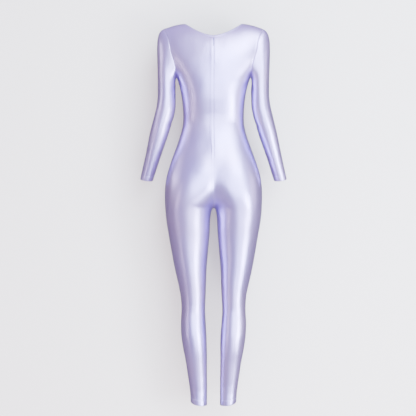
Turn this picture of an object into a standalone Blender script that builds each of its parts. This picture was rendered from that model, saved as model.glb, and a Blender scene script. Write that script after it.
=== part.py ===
"""A full body stretch suit with long sleeves, a scooped neck and a concealed zip down the centre back.

It is the filled-out garment with nobody in it: four body panels that run from shoulder to ankle, two
set-in sleeves, a neck binding and the zip. Metres, +Z up. The origin is midway between the neck ends
of the two shoulder seams, where the wearer's shoulders hold the suit. The wearer faces +Y, so +X is
the wearer's right, and the zip is on the -Y side.
"""

import math

import bmesh
import bpy
import numpy as np
from mathutils import Matrix, Vector

MM = 0.001

# Cloth and seams, in millimetres
CLOTH = 1.2
SEAM_HALF_GAP = 0.15
ZIP_HALF_GAP = 0.6

# Heights, in millimetres below the neck ends of the shoulder seams
UNDERARM = -190.0
ZIP_FOOT = -432.0
SEAT = -600.0
CROTCH = -651.0
THIGH = -690.0
HEM_OUTER = -1338.0
HEM_INNER = -1350.0
HEM_BACK_DIP = 4.0

# How softly the two legs part under the crotch, in millimetres
FORK = 8.0

# Neck and shoulder, in millimetres
NECK_HALF_WIDTH = 100.0
NECK_DROP_BACK = 48.0
NECK_DROP_FRONT = 98.0
NECK_CURVE_BACK = 1.75
NECK_CURVE_FRONT = 2.2
BINDING_WIDTH = 7.0
BINDING_WALL = 1.8
BINDING_PROUD = 0.3
BINDING_CROWN = 0.3
SHOULDER_TIP = 175.0
SHOULDER_DROP = 18.0
SHOULDER_CURVE = 1.6

# The front is cut and darted over a general bust form
BUST_HEIGHT = -205.0
BUST_DEPTH = 30.0
BUST_HALF_WIDTH = 95.0
BUST_RISE_ABOVE = 78.0
BUST_RISE_BELOW = 50.0
BUST_DIP_SHARE = 0.16
BUST_DIP_WIDTH = 24.0

# The centre back seam is curved to draw the seat in between its two sides
SEAT_DIP = 7.0
SEAT_DIP_HALF_WIDTH = 36.0
SEAT_DIP_HEIGHT = -575.0
SEAT_DIP_REACH = 85.0

# Body sections. Height, then the side seam's distance from the centre line, the inner end of the
# same half section (below zero, the two halves share a middle; above FORK, they are two legs), and
# the section's back, side seam and front in Y. square is the section's superellipse power.
BODY_COLUMNS = ("height", "outer", "inner", "back", "side", "front", "square")
BODY = (
    (0, 200.0, -200.0, -92, -4, 84, 2.2),
    (-40, 200.0, -200.0, -92, -4, 84, 2.2),
    (-80, 192.0, -192.0, -92, -4, 84, 2.2),
    (-120, 176.0, -176.0, -92, -4, 84, 2.2),
    (-160, 152.0, -152.0, -92, -4, 84, 2.2),
    (-190, 131.0, -131.0, -92, -4, 84, 2.3),
    (-213, 123.0, -123.0, -92, -3, 84, 2.3),
    (-240, 116.5, -116.5, -89, -2, 83, 2.3),
    (-270, 111.5, -111.5, -84, 0, 82, 2.3),
    (-300, 108.5, -108.5, -77, 2, 81, 2.3),
    (-330, 107.5, -107.5, -71, 4, 82, 2.3),
    (-356, 108.5, -108.5, -70, 4, 85, 2.3),
    (-384, 114.0, -113.0, -74, 3, 89, 2.3),
    (-412, 122.5, -119.0, -81, 2, 92, 2.3),
    (-440, 132.5, -123.0, -90, 0, 94, 2.3),
    (-470, 143.5, -123.0, -100, -4, 94, 2.3),
    (-505, 155.0, -112.0, -109, -8, 92, 2.25),
    (-540, 165.0, -91.0, -116, -12, 89, 2.2),
    (-575, 170.5, -62.0, -119, -14, 86, 2.15),
    (-610, 172.0, -28.0, -117, -15, 82, 2.1),
    (-635, 171.8, -5.0, -112, -14, 78, 2.1),
    (-651, 171.0, 8.0, -107, -13, 76, 2.1),
    (-667, 169.8, 12.0, -102, -12, 74, 2.1),
    (-690, 167.5, 14.3, -96, -11, 73, 2.05),
    (-740, 159.5, 16.0, -87, -9, 70, 2.05),
    (-800, 149.5, 20.6, -80, -7, 66, 2.0),
    (-860, 138.5, 25.4, -73, -6, 61, 2.0),
    (-920, 125.5, 27.4, -66, -6, 54, 2.0),
    (-965, 116.5, 29.2, -60, -6, 47, 2.0),
    (-1010, 113.0, 31.2, -56, -8, 41, 2.0),
    (-1060, 115.3, 28.6, -63, -14, 34, 2.0),
    (-1100, 113.8, 26.0, -67, -18, 28, 2.0),
    (-1150, 107.0, 24.8, -64, -19, 24, 2.0),
    (-1200, 97.5, 24.6, -56, -17, 20, 2.0),
    (-1250, 90.0, 24.4, -49, -15, 18, 2.0),
    (-1300, 83.0, 24.3, -44, -13, 18, 2.0),
    (-1360, 79.0, 24.3, -43, -11, 21, 2.0),
)

# Armhole seen from behind and from the front: height, and distance from the centre line
ARMHOLE_COLUMNS = ("height", "back", "front")
ARMHOLE = (
    (-18, 175.0, 175.0),
    (-60, 159.0, 155.0),
    (-105, 150.5, 145.5),
    (-138, 140.0, 136.5),
    (-162, 134.0, 132.5),
    (-190, 131.0, 131.0),
)

# Sleeve sections: centre, width across and depth front to back
SLEEVE_COLUMNS = ("x", "y", "z", "width", "depth")
SLEEVE = (
    (165.6, -8, -222, 64.0, 88),
    (165.8, -11, -262, 64.5, 85),
    (168.8, -14, -300, 67.5, 82),
    (178.0, -12, -338, 67.0, 80),
    (190.0, -6, -380, 65.5, 77),
    (203.0, 3, -425, 60.0, 71),
    (216.0, 13, -470, 53.5, 64),
    (229.0, 24, -515, 49.5, 57),
    (239.5, 33, -552, 46.0, 51),
)
CUFF_EXTRA_TILT = math.radians(7)
CAP_FULLNESS = 0.24
CAP_FLATTER_ON_TOP = 0.05

# How finely the cloth is divided
ACROSS = 9
YOKE_ROWS = 8
SCYE_ROWS = 5
BACK_ROWS = 13
HOOK_ROWS = 6
LEG_ROWS = 19
CAP_ROWS = 7
ARM_ROWS = 13

# Zip, in millimetres. The pull's pin lies PIN_OUT outside the cloth.
TAPE_WIDTH = 11.4
TAPE_WALL = 1.0
TAPE_BEHIND_CLOTH = 0.3
SLIDER_TOP = -59.0
SLIDER_LENGTH = 9.0
CROWN_WIDTH = 4.6
CROWN_THICKNESS = 0.9
POST_WIDTH = 0.6
POST_LENGTH = 5.0
PLATE_WIDTH = 6.4
PLATE_THICKNESS = 1.5
LUG_THICKNESS = 0.8
LUG_RADIUS = 1.3
PIN_RADIUS = 0.5
PIN_OUT = 2.9
EYE_RADIUS = 1.35
EYE_HOLE = 0.8
EYE_WIDTH = 2.2
PULL_LENGTH = 27.0
PULL_NECK_LENGTH = 3.0
PULL_NECK_WIDTH = 2.2
PULL_END_WIDTH = 5.2
PULL_THICKNESS = 0.9
PULL_STEPS = 6
RUNNING_GAP = 0.3
ROD_SIDES = 16

LILAC = (0.56, 0.50, 0.76, 1.0)
LILAC_METAL = (0.52, 0.46, 0.70, 1.0)

BACK, FRONT = -1, 1


def column(table, names, name):
    """One named column of a table, as an array."""
    return np.array([row[names.index(name)] for row in table], float)


def smooth_value(heights, values, at):
    """The value at a height on the smooth curve through a column, whose heights run downwards."""
    at = min(max(at, heights[-1]), heights[0])
    i = min(int(np.searchsorted(-heights, -at, side="right")) - 1, len(heights) - 2)
    i = max(i, 0)
    slopes = np.gradient(values, heights)
    span = heights[i + 1] - heights[i]
    t = (at - heights[i]) / span
    return (
        (2 * t**3 - 3 * t**2 + 1) * values[i]
        + (t**3 - 2 * t**2 + t) * span * slopes[i]
        + (3 * t**2 - 2 * t**3) * values[i + 1]
        + (t**3 - t**2) * span * slopes[i + 1]
    )


BODY_HEIGHTS = column(BODY, BODY_COLUMNS, "height")
BODY_VALUES = {name: column(BODY, BODY_COLUMNS, name) for name in BODY_COLUMNS[1:]}
ARMHOLE_HEIGHTS = column(ARMHOLE, ARMHOLE_COLUMNS, "height")
ARMHOLE_VALUES = {
    BACK: column(ARMHOLE, ARMHOLE_COLUMNS, "back"),
    FRONT: column(ARMHOLE, ARMHOLE_COLUMNS, "front"),
}


def body_section(height):
    """outer, inner, back, side, front and square at a height."""
    return [smooth_value(BODY_HEIGHTS, BODY_VALUES[n], height) for n in BODY_COLUMNS[1:]]


def ring_in_x(level):
    """Centre and half-width in X of the half section at a level, before the fork is rounded."""
    outer, inner = body_section(nominal_height(level))[:2]
    outer = math.hypot(outer, FORK)
    return (outer + inner) / 2, (outer - inner) / 2


def level_of(height):
    """The level of a height below the underarm. Levels above it are angles over the shoulder."""
    return 1 - height / UNDERARM


def nominal_height(level):
    return UNDERARM * (1 - (math.sin(level) if level > 0 else level))


def shoulder_line(x):
    """Height of the shoulder seam at a distance from the centre line."""
    past_neck = max(x - NECK_HALF_WIDTH, 0) / (SHOULDER_TIP - NECK_HALF_WIDTH)
    return -SHOULDER_DROP * past_neck**SHOULDER_CURVE


def bust(x, z):
    """How far the front stands out over the bust form."""
    rise = BUST_RISE_ABOVE if z > BUST_HEIGHT else BUST_RISE_BELOW
    upright = math.exp(-(((z - BUST_HEIGHT) / rise) ** 2))
    sideways = math.exp(-((x / BUST_HALF_WIDTH) ** 4))
    return BUST_DEPTH * upright * sideways * (1 - BUST_DIP_SHARE * math.exp(-((x / BUST_DIP_WIDTH) ** 2)))


def seat_dip(x, z):
    """How far the centre back seam draws the seat in."""
    upright = math.exp(-(((z - SEAT_DIP_HEIGHT) / SEAT_DIP_REACH) ** 4))
    return SEAT_DIP * upright * math.exp(-((x / SEAT_DIP_HALF_WIDTH) ** 2))


def body_point(turn, level):
    """A point of the right half of the body. turn is 0 at the side seam, negative round the back."""
    _, _, back, side, front, square = body_section(nominal_height(level))
    centre, half = ring_in_x(level)
    power = 2 / square
    across = math.copysign(abs(math.cos(turn)) ** power, math.cos(turn))
    along = abs(math.sin(turn)) ** power
    x = math.sqrt(max((centre + half * across) ** 2 - FORK**2, 0))
    lift = math.cos(level) if level > 0 else 1
    if level > 0:
        z = UNDERARM + (shoulder_line(x) - UNDERARM) * math.sin(level)
    else:
        z = nominal_height(level)
    if turn < 0:
        y = side + (back - side + seat_dip(x, z)) * along
    else:
        y = side + (front - side + bust(x, z)) * along
    return Vector((x, y * lift, z))


def turn_at(x, level, face):
    """The turn at which the section at a level is x from the centre line."""
    square = body_section(nominal_height(level))[-1]
    centre, half = ring_in_x(level)
    across = min(max((math.hypot(x, FORK) - centre) / half, -1), 1)
    return face * math.acos(math.copysign(abs(across) ** (square / 2), across))


def upper_place(x, z, face):
    """turn and level of the point above the underarm that is seen at x, z from behind or in front."""
    share = (z - UNDERARM) / (shoulder_line(x) - UNDERARM)
    level = math.asin(min(max(share, 0), 1))
    return turn_at(x, level, face), level


def neck_place(share, face, down=0.0):
    """On the neckline, or so far down from it: share 0 at the shoulder seam, 1 at the centre."""
    drop = (NECK_DROP_BACK if face == BACK else NECK_DROP_FRONT) + down
    curve = NECK_CURVE_BACK if face == BACK else NECK_CURVE_FRONT
    half = NECK_HALF_WIDTH + down
    x = half * math.cos(share * math.pi / 2)
    z = -drop * (1 - (x / half) ** curve) + shoulder_line(x)
    return upper_place(x, z, face)


def armhole_place(share, face):
    """On the armhole: share 0 at the shoulder tip, 1 under the arm."""
    top, foot = ARMHOLE_HEIGHTS[0], ARMHOLE_HEIGHTS[-1]
    z = (top + foot) / 2 + (top - foot) / 2 * math.cos(share * math.pi)
    return upper_place(smooth_value(ARMHOLE_HEIGHTS, ARMHOLE_VALUES[face], z), z, face)


def centre_place(z, face):
    """On the centre back or centre front seam."""
    level = math.asin(1 - z / UNDERARM) if z > UNDERARM else level_of(z)
    return turn_at(0, level, face), level


def edge_places(face, below_neck):
    """For each row of a panel, its place on the inner edge and on the outer edge."""
    neck_z = body_point(*neck_place(1, face, below_neck)).z
    rows = []
    for i in range(YOKE_ROWS):
        inner = neck_place(i / YOKE_ROWS, face, below_neck)
        rows.append((inner, armhole_place(i / (YOKE_ROWS + SCYE_ROWS), face)))
    for i in range(SCYE_ROWS):
        inner = centre_place(neck_z + (UNDERARM - neck_z) * i / SCYE_ROWS, face)
        rows.append((inner, armhole_place((YOKE_ROWS + i) / (YOKE_ROWS + SCYE_ROWS), face)))
    side_seat = SEAT + (THIGH - CROTCH)
    for i in range(BACK_ROWS):
        share = i / BACK_ROWS
        inner = centre_place(UNDERARM + (SEAT - UNDERARM) * share, face)
        rows.append((inner, (0, level_of(UNDERARM + (side_seat - UNDERARM) * share))))
    for i in range(HOOK_ROWS):
        share = i / HOOK_ROWS
        inner = centre_place(SEAT + (CROTCH - SEAT) * math.sin(share * math.pi / 2), face)
        rows.append((inner, (0, level_of(side_seat + (THIGH - side_seat) * share))))
    for i in range(LEG_ROWS + 1):
        share = i / LEG_ROWS
        down = 0.5 * share + 0.5 * share**2
        inner = (face * math.pi, level_of(CROTCH + (HEM_INNER - CROTCH) * down))
        rows.append((inner, (0, level_of(THIGH + (HEM_OUTER - THIGH) * down))))
    return rows


def panel_grid(face, below_neck):
    """Points of the right back or right front panel, as rows from the shoulder to the hem."""
    places = edge_places(face, below_neck)
    first_leg_row = len(places) - LEG_ROWS - 1
    grid = []
    for r, ((inner_turn, inner_level), (outer_turn, outer_level)) in enumerate(places):
        near_hem = max(r - first_leg_row, 0) / LEG_ROWS
        row = []
        for c in range(ACROSS + 1):
            share = c / ACROSS
            turn = inner_turn + (outer_turn - inner_turn) * share
            level = inner_level + (outer_level - inner_level) * share
            if level <= 0:
                dip = -face * HEM_BACK_DIP * math.sin(share * math.pi) * near_hem**6
                level = level_of(nominal_height(level) - dip)
            row.append(body_point(turn, level))
        grid.append(row)
    return grid


def bezier(points, t):
    a, b, c, d = points
    return a * (1 - t) ** 3 + b * (3 * t * (1 - t) ** 2) + c * (3 * t**2 * (1 - t)) + d * t**3


def sleeve_frame(index, centres):
    """Across and depth directions of the sleeve section at an index."""
    before, after = centres[max(index - 1, 0)], centres[min(index + 1, len(centres) - 1)]
    along = (after - before).normalized()
    depth = (Vector((0, 1, 0)) - along * along.y).normalized()
    across = depth.cross(along).normalized()
    if across.x < 0:
        across = -across
    if index == len(centres) - 1:
        across.rotate(Matrix.Rotation(CUFF_EXTRA_TILT, 3, depth))
    return across, depth


def sleeve_sections():
    """Centre, width and depth of the evenly spaced sections down the sleeve."""
    heights = column(SLEEVE, SLEEVE_COLUMNS, "z")
    values = {n: column(SLEEVE, SLEEVE_COLUMNS, n) for n in SLEEVE_COLUMNS}
    rows = []
    for i in range(ARM_ROWS + 1):
        z = heights[0] + (heights[-1] - heights[0]) * i / ARM_ROWS
        x, y, width, depth = (smooth_value(heights, values[n], z) for n in ("x", "y", "width", "depth"))
        rows.append((Vector((x, y, z)), width, depth))
    return rows


def sleeve_grid(armhole):
    """Rings of the right sleeve, from the armhole to the cuff, each turning from the top to the front."""
    sections = sleeve_sections()
    centres = [s[0] for s in sections]
    rings = []
    for i, (centre, width, depth) in enumerate(sections):
        across, deep = sleeve_frame(i, centres)
        ring = []
        for k in range(len(armhole)):
            turn = 2 * math.pi * k / len(armhole)
            sideways = across * (width / 2 * math.cos(turn))
            ring.append(centre + sideways + deep * (depth / 2 * math.sin(turn)))
        rings.append(ring)
    cap = []
    for t in (i / CAP_ROWS for i in range(CAP_ROWS)):
        ring = []
        for k, start in enumerate(armhole):
            turn = 2 * math.pi * k / len(armhole)
            outwards = 0.74 + 0.22 * math.cos(turn)
            leave = Vector((outwards, 0, -math.sqrt(1 - outwards**2)))
            end = rings[0][k]
            reach = (end - start).length
            first = start + leave * (2 * SEAM_HALF_GAP)
            last_hold = end + Vector((0, 0, reach * (0.46 + 0.1 * math.cos(turn))))
            hold = reach * (CAP_FULLNESS - CAP_FLATTER_ON_TOP * math.cos(turn))
            ring.append(bezier((first, first + leave * hold, last_hold, end), t))
        cap.append(ring)
    return cap + rings


def corner_name(point):
    return tuple(round(v, 2) for v in point)


def grid_normals(grids, closed_round=False):
    """Outward unit normals of grids. Grids that meet at a seam get the same normals there."""
    sums = {}
    for grid in grids:
        columns = len(grid[0]) if closed_round else len(grid[0]) - 1
        for r in range(len(grid) - 1):
            for c in range(columns):
                n = (c + 1) % len(grid[0])
                corners = (grid[r][c], grid[r + 1][c], grid[r + 1][n], grid[r][n])
                normal = (corners[2] - corners[0]).cross(corners[3] - corners[1])
                for p in corners:
                    name = corner_name(p)
                    sums[name] = sums.get(name, Vector((0, 0, 0))) + normal
    return [[[unit_normal(sums[corner_name(p)], p) for p in row] for row in grid] for grid in grids]


def unit_normal(total, point):
    """On the centre plane the left half adds the mirrored normal, which cancels its X part."""
    if abs(point.x) < 0.01:
        total = Vector((0, total.y, total.z))
    return total.normalized()


def wall_mesh(name, outer, inner, closed_round=False):
    """A closed wall lofted between an outer and an inner grid of points in millimetres."""
    bm = bmesh.new()
    rows, across = len(outer), len(outer[0])
    out = [[bm.verts.new(p * MM) for p in row] for row in outer]
    ins = [[bm.verts.new(p * MM) for p in row] for row in inner]
    for r in range(rows - 1):
        for c in range(across if closed_round else across - 1):
            n = (c + 1) % across
            bm.faces.new((out[r][c], out[r + 1][c], out[r + 1][n], out[r][n]))
            bm.faces.new((ins[r][n], ins[r + 1][n], ins[r + 1][c], ins[r][c]))
    for c in range(across if closed_round else across - 1):
        n = (c + 1) % across
        bm.faces.new((out[0][c], out[0][n], ins[0][n], ins[0][c]))
        bm.faces.new((out[-1][n], out[-1][c], ins[-1][c], ins[-1][n]))
    if not closed_round:
        for r in range(rows - 1):
            bm.faces.new((out[r + 1][0], out[r][0], ins[r][0], ins[r + 1][0]))
            bm.faces.new((out[r][-1], out[r + 1][-1], ins[r + 1][-1], ins[r][-1]))
    bmesh.ops.recalc_face_normals(bm, faces=bm.faces)
    mesh = bpy.data.meshes.new(name)
    bm.to_mesh(mesh)
    bm.free()
    return mesh


def mirrored(grid):
    return [[Vector((-p.x, p.y, p.z)) for p in row] for row in grid]


def material(name, colour, roughness, metallic):
    made = bpy.data.materials.new(name)
    made.use_nodes = True
    shader = made.node_tree.nodes["Principled BSDF"]
    shader.inputs["Base Color"].default_value = colour
    shader.inputs["Roughness"].default_value = roughness
    shader.inputs["Metallic"].default_value = metallic
    return made


def add_object(name, mesh, collection, finish):
    """Puts a mesh in the scene as one named, smooth-shaded object."""
    mesh.shade_smooth()
    mesh.set_sharp_from_angle(angle=math.radians(40))
    mesh.materials.append(finish)
    obj = bpy.data.objects.new(name, mesh)
    collection.objects.link(obj)
    return obj


def turned(grid):
    return [list(reversed(row)) for row in grid]


def binding_grid(face):
    """Points across the right half of the neck binding, from the shoulder seam to the centre."""
    rows = []
    for i in range(YOKE_ROWS + 1):
        down = (BINDING_WIDTH * k / 2 for k in range(3))
        rows.append([body_point(*neck_place(i / YOKE_ROWS, face, d)) for d in down])
    return rows


def body_normals():
    """Normals of the right half's panels and binding, taken seam to seam."""
    panels = {face: panel_grid(face, BINDING_WIDTH) for face in (BACK, FRONT)}
    bindings = {face: binding_grid(face) for face in (BACK, FRONT)}
    back_panel, back_binding, front_panel, front_binding = grid_normals(
        [panels[BACK], bindings[BACK], turned(panels[FRONT]), turned(bindings[FRONT])]
    )
    return {
        "panel": {BACK: back_panel, FRONT: turned(front_panel)},
        "binding": {BACK: back_binding, FRONT: turned(front_binding)},
    }


def moved_out(grid, normals, distance):
    return [[p + n * distance for p, n in zip(row, marks)] for row, marks in zip(grid, normals)]


def centre_seam_gap(z, face):
    """Half the gap at the centre seam, wider where the zip opens the back."""
    return ZIP_HALF_GAP if face == BACK and z > ZIP_FOOT else SEAM_HALF_GAP


def ease_seams(grid, face):
    """Moves a panel's edges away from its neighbours by half a seam gap."""
    crotch_row = len(grid) - LEG_ROWS - 1
    underarm_row = YOKE_ROWS + SCYE_ROWS
    for r, row in enumerate(grid):
        if YOKE_ROWS <= r <= crotch_row:
            row[0].x += centre_seam_gap(row[0].z, face)
        if r >= crotch_row:
            row[0].y += face * SEAM_HALF_GAP
        if r < underarm_row:
            row[-1] += (row[-2] - row[-1]).normalized() * SEAM_HALF_GAP
        else:
            row[-1].y += face * SEAM_HALF_GAP
    for p in grid[0]:
        p.y += face * SEAM_HALF_GAP


def add_pair(name, outer, inner, collection, finish, closed_round=False):
    """A piece on the right and its mirror image on the left."""
    right = wall_mesh(f"{name}_right", outer, inner, closed_round)
    add_object(f"{name}_right", right, collection, finish)
    left = wall_mesh(f"{name}_left", mirrored(outer), mirrored(inner), closed_round)
    add_object(f"{name}_left", left, collection, finish)


def build_panels(normals, collection, finish):
    """The four body panels. Gives back the outer points of the right pair."""
    grids = {}
    for name, face in (("back", BACK), ("front", FRONT)):
        outer = panel_grid(face, BINDING_WIDTH + 2 * SEAM_HALF_GAP)
        ease_seams(outer, face)
        inner = moved_out(outer, normals["panel"][face], -CLOTH)
        add_pair(name, outer, inner, collection, finish)
        grids[face] = outer
    return grids


def armhole_ring():
    """The armhole's points, from the shoulder tip down the front and up the back."""
    rows = YOKE_ROWS + SCYE_ROWS
    front = [body_point(*armhole_place(i / rows, FRONT)) for i in range(rows + 1)]
    back = [body_point(*armhole_place(i / rows, BACK)) for i in range(rows - 1, 0, -1)]
    return front + back


def build_sleeves(collection, finish):
    outer = sleeve_grid(armhole_ring())
    normals = grid_normals([outer], closed_round=True)[0]
    inner = moved_out(outer, normals, -CLOTH)
    add_pair("sleeve", outer, inner, collection, finish, closed_round=True)


def build_binding(normals, collection, finish):
    """The folded strip that finishes the neck edge, open at the centre back."""
    grids = {face: binding_grid(face) for face in (BACK, FRONT)}
    for p in grids[BACK][-1]:
        p.x += ZIP_HALF_GAP
    marks = normals["binding"]
    outer = list(reversed(grids[BACK])) + grids[FRONT][1:]
    marks = list(reversed(marks[BACK])) + marks[FRONT][1:]
    inner = moved_out(outer, marks, BINDING_PROUD - BINDING_WALL)
    outer = moved_out(outer, marks, BINDING_PROUD)
    for row, directions in zip(outer, marks):
        row[1] += directions[1] * BINDING_CROWN
    outer += list(reversed(mirrored(outer[:-1])))
    inner += list(reversed(mirrored(inner[:-1])))
    mesh = wall_mesh("neck_binding", outer, inner)
    add_object("neck_binding", mesh, collection, finish)


def build_tapes(back, normals, collection, finish):
    """The two zip tapes, sewn flat inside the centre back edges."""
    outer, inner = [], []
    for row, marks in zip(back[YOKE_ROWS:], normals["panel"][BACK][YOKE_ROWS:]):
        if row[0].z < ZIP_FOOT:
            break
        share = TAPE_WIDTH / (row[1] - row[0]).length
        edges = ((row[0], marks[0]), (row[0].lerp(row[1], share), marks[0].lerp(marks[1], share)))
        outer.append([p - n * (CLOTH + TAPE_BEHIND_CLOTH) for p, n in edges])
        inner.append([p - n * (CLOTH + TAPE_BEHIND_CLOTH + TAPE_WALL) for p, n in edges])
    add_pair("zip_tape", outer, inner, collection, finish)


def centre_back_at(edge, z):
    """Point and outward normal of the centre back edge at a height."""
    for upper, lower in zip(edge, edge[1:]):
        if upper.z >= z >= lower.z:
            point = upper.lerp(lower, (upper.z - z) / (upper.z - lower.z))
            down = (lower - upper).normalized()
            return Vector((0, point.y, point.z)), Vector((0, down.z, -down.y))
    raise ValueError("the slider lies off the centre back seam")


def slider_carrier(edge):
    """Frame of the slider: Y out of the back, Z up the seam, and the origin on the cloth."""
    point, out = centre_back_at(edge, SLIDER_TOP - SLIDER_LENGTH / 2)
    across = Vector((-1, 0, 0))
    turn = Matrix((across, out, across.cross(out))).transposed()
    return Matrix.Translation(point * MM) @ turn.to_4x4()


def add_box(bm, size, centre):
    verts = bmesh.ops.create_cube(bm, size=1)["verts"]
    bmesh.ops.scale(bm, vec=Vector(size) * MM, verts=verts)
    bmesh.ops.translate(bm, vec=Vector(centre) * MM, verts=verts)


def add_rod(bm, radius, length, centre=(0, 0, 0)):
    """A cylinder that lies along X."""
    thick = radius * MM
    made = bmesh.ops.create_cone(
        bm, cap_ends=True, segments=ROD_SIDES, radius1=thick, radius2=thick, depth=length * MM
    )
    lay = Matrix.Rotation(math.pi / 2, 3, "Y")
    bmesh.ops.rotate(bm, cent=(0, 0, 0), matrix=lay, verts=made["verts"])
    bmesh.ops.translate(bm, vec=Vector(centre) * MM, verts=made["verts"])


def combined(name, shapes, holes, collection):
    """One closed mesh: the Boolean union of some shapes, less some holes."""
    pieces = []
    for k, (add_shape, values) in enumerate(shapes + holes):
        bm = bmesh.new()
        add_shape(bm, *values)
        mesh = bpy.data.meshes.new(f"{name}_{k}")
        bm.to_mesh(mesh)
        bm.free()
        piece = bpy.data.objects.new(f"{name}_{k}", mesh)
        collection.objects.link(piece)
        pieces.append(piece)
    for k, piece in enumerate(pieces[1:], 1):
        step = pieces[0].modifiers.new("combine", "BOOLEAN")
        step.operation = "UNION" if k < len(shapes) else "DIFFERENCE"
        step.object = piece
    bpy.context.view_layer.update()
    graph = bpy.context.evaluated_depsgraph_get()
    whole = bpy.data.meshes.new_from_object(pieces[0].evaluated_get(graph))
    whole.name = name
    for piece in pieces:
        bpy.data.objects.remove(piece)
    return whole


def build_slider(carrier, collection, finish):
    """The slider: a crown outside the cloth, a post through the seam and a plate inside the tapes."""
    crown_y = RUNNING_GAP + CROWN_THICKNESS / 2
    plate_y = -(CLOTH + TAPE_BEHIND_CLOTH + TAPE_WALL + RUNNING_GAP + PLATE_THICKNESS / 2)
    lug_x = EYE_WIDTH / 2 + RUNNING_GAP + LUG_THICKNESS / 2
    foot_y = (crown_y + PIN_OUT) / 2
    foot_height = PIN_OUT - crown_y
    shapes = [
        (add_box, ((CROWN_WIDTH, CROWN_THICKNESS, SLIDER_LENGTH), (0, crown_y, 0))),
        (add_box, ((POST_WIDTH, crown_y - plate_y, POST_LENGTH), (0, (crown_y + plate_y) / 2, 0))),
        (add_box, ((PLATE_WIDTH, PLATE_THICKNESS, SLIDER_LENGTH), (0, plate_y, 0))),
        (add_rod, (PIN_RADIUS, 2 * lug_x, (0, PIN_OUT, 0))),
    ]
    for side in (-1, 1):
        x = side * lug_x
        shapes.append((add_rod, (LUG_RADIUS, LUG_THICKNESS, (x, PIN_OUT, 0))))
        shapes.append((add_box, ((LUG_THICKNESS, foot_height, 1.8 * LUG_RADIUS), (x, foot_y, 0))))
    mesh = combined("zip_slider", shapes, [], collection)
    add_object("zip_slider", mesh, collection, finish).matrix_world = carrier


def add_tab(bm):
    """The flat drop-shaped tab, which hangs along -Z from the pin."""
    neck, end = PULL_NECK_WIDTH / 2, PULL_END_WIDTH / 2
    round_from = PULL_LENGTH - end
    side = [(neck, 0), (neck, PULL_NECK_LENGTH)]
    for k in range(1, PULL_STEPS + 1):
        share = k / PULL_STEPS
        widen = (1 - math.cos(share * math.pi)) / 2
        down = PULL_NECK_LENGTH + (round_from - PULL_NECK_LENGTH) * share
        side.append((neck + (end - neck) * widen, down))
    for k in range(1, PULL_STEPS):
        turn = k / PULL_STEPS * math.pi / 2
        side.append((end * math.cos(turn), round_from + end * math.sin(turn)))
    ring = side + [(0, PULL_LENGTH)] + [(-x, down) for x, down in reversed(side)]
    near = -PULL_THICKNESS / 2
    face = bm.faces.new([bm.verts.new(Vector((x, near, -down)) * MM) for x, down in ring])
    grown = bmesh.ops.extrude_face_region(bm, geom=[face])["geom"]
    far = [g for g in grown if isinstance(g, bmesh.types.BMVert)]
    bmesh.ops.translate(bm, vec=(0, PULL_THICKNESS * MM, 0), verts=far)
    bmesh.ops.recalc_face_normals(bm, faces=bm.faces)


def pull_lean(carrier, edge):
    """How far the hanging pull leans in before it would touch the slider's crown or the cloth."""
    into_slider = carrier.inverted()
    line = sorted(((into_slider @ (p * MM)) / MM for p in edge), key=lambda p: p.z)
    heights, depths = [p.z for p in line], [p.y for p in line]
    crown_top = RUNNING_GAP + CROWN_THICKNESS
    slopes = []
    for down in range(1, int(PULL_LENGTH) + 1):
        under = crown_top if down <= SLIDER_LENGTH / 2 + 1 else float(np.interp(-down, heights, depths))
        slopes.append((PIN_OUT - PULL_THICKNESS / 2 - RUNNING_GAP - under) / down)
    return math.atan(min(slopes))


def build_pull(carrier, edge, collection, finish):
    """The pull: an eye round the slider's pin and the tab. Its hinge is an empty on the pin's axis."""
    shapes = [(add_rod, (EYE_RADIUS, EYE_WIDTH)), (add_tab, ())]
    holes = [(add_rod, (EYE_HOLE, 2 * EYE_WIDTH))]
    mesh = combined("zip_pull", shapes, holes, collection)
    hinge = bpy.data.objects.new("pull_hinge", None)
    collection.objects.link(hinge)
    hinge.matrix_world = carrier @ Matrix.Translation((0, PIN_OUT * MM, 0))
    pull = add_object("zip_pull", mesh, collection, finish)
    pull.parent = hinge
    pull.rotation_euler.x = -pull_lean(carrier, edge)


def main():
    for obj in list(bpy.data.objects):
        bpy.data.objects.remove(obj)
    suit = bpy.data.collections.new("stretch_suit")
    bpy.context.scene.collection.children.link(suit)
    cloth = material("lilac_spandex", LILAC, 0.28, 0.25)
    tape = material("zip_tape", LILAC, 0.7, 0.0)
    metal = material("painted_zip", LILAC_METAL, 0.35, 0.3)
    normals = body_normals()
    panels = build_panels(normals, suit, cloth)
    build_sleeves(suit, cloth)
    build_binding(normals, suit, cloth)
    build_tapes(panels[BACK], normals, suit, tape)
    edge = [row[0] for row in panels[BACK][YOKE_ROWS:]]
    carrier = slider_carrier(edge)
    build_slider(carrier, suit, metal)
    build_pull(carrier, edge, suit, metal)


main()
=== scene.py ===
# %% [markdown]
# # A lilac full body stretch suit
# The suit is a real sewn thing: four long body panels, two set-in sleeves, a bound neck and a
# concealed zip down the back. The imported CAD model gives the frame, the sizes and the slider with
# its pull. Its cloth walls are coarse, so this lesson builds each panel again as a finer shell on
# the same surface, then adds seams, stitches and the zip's coil.

# %% Load the frame
import math

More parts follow.
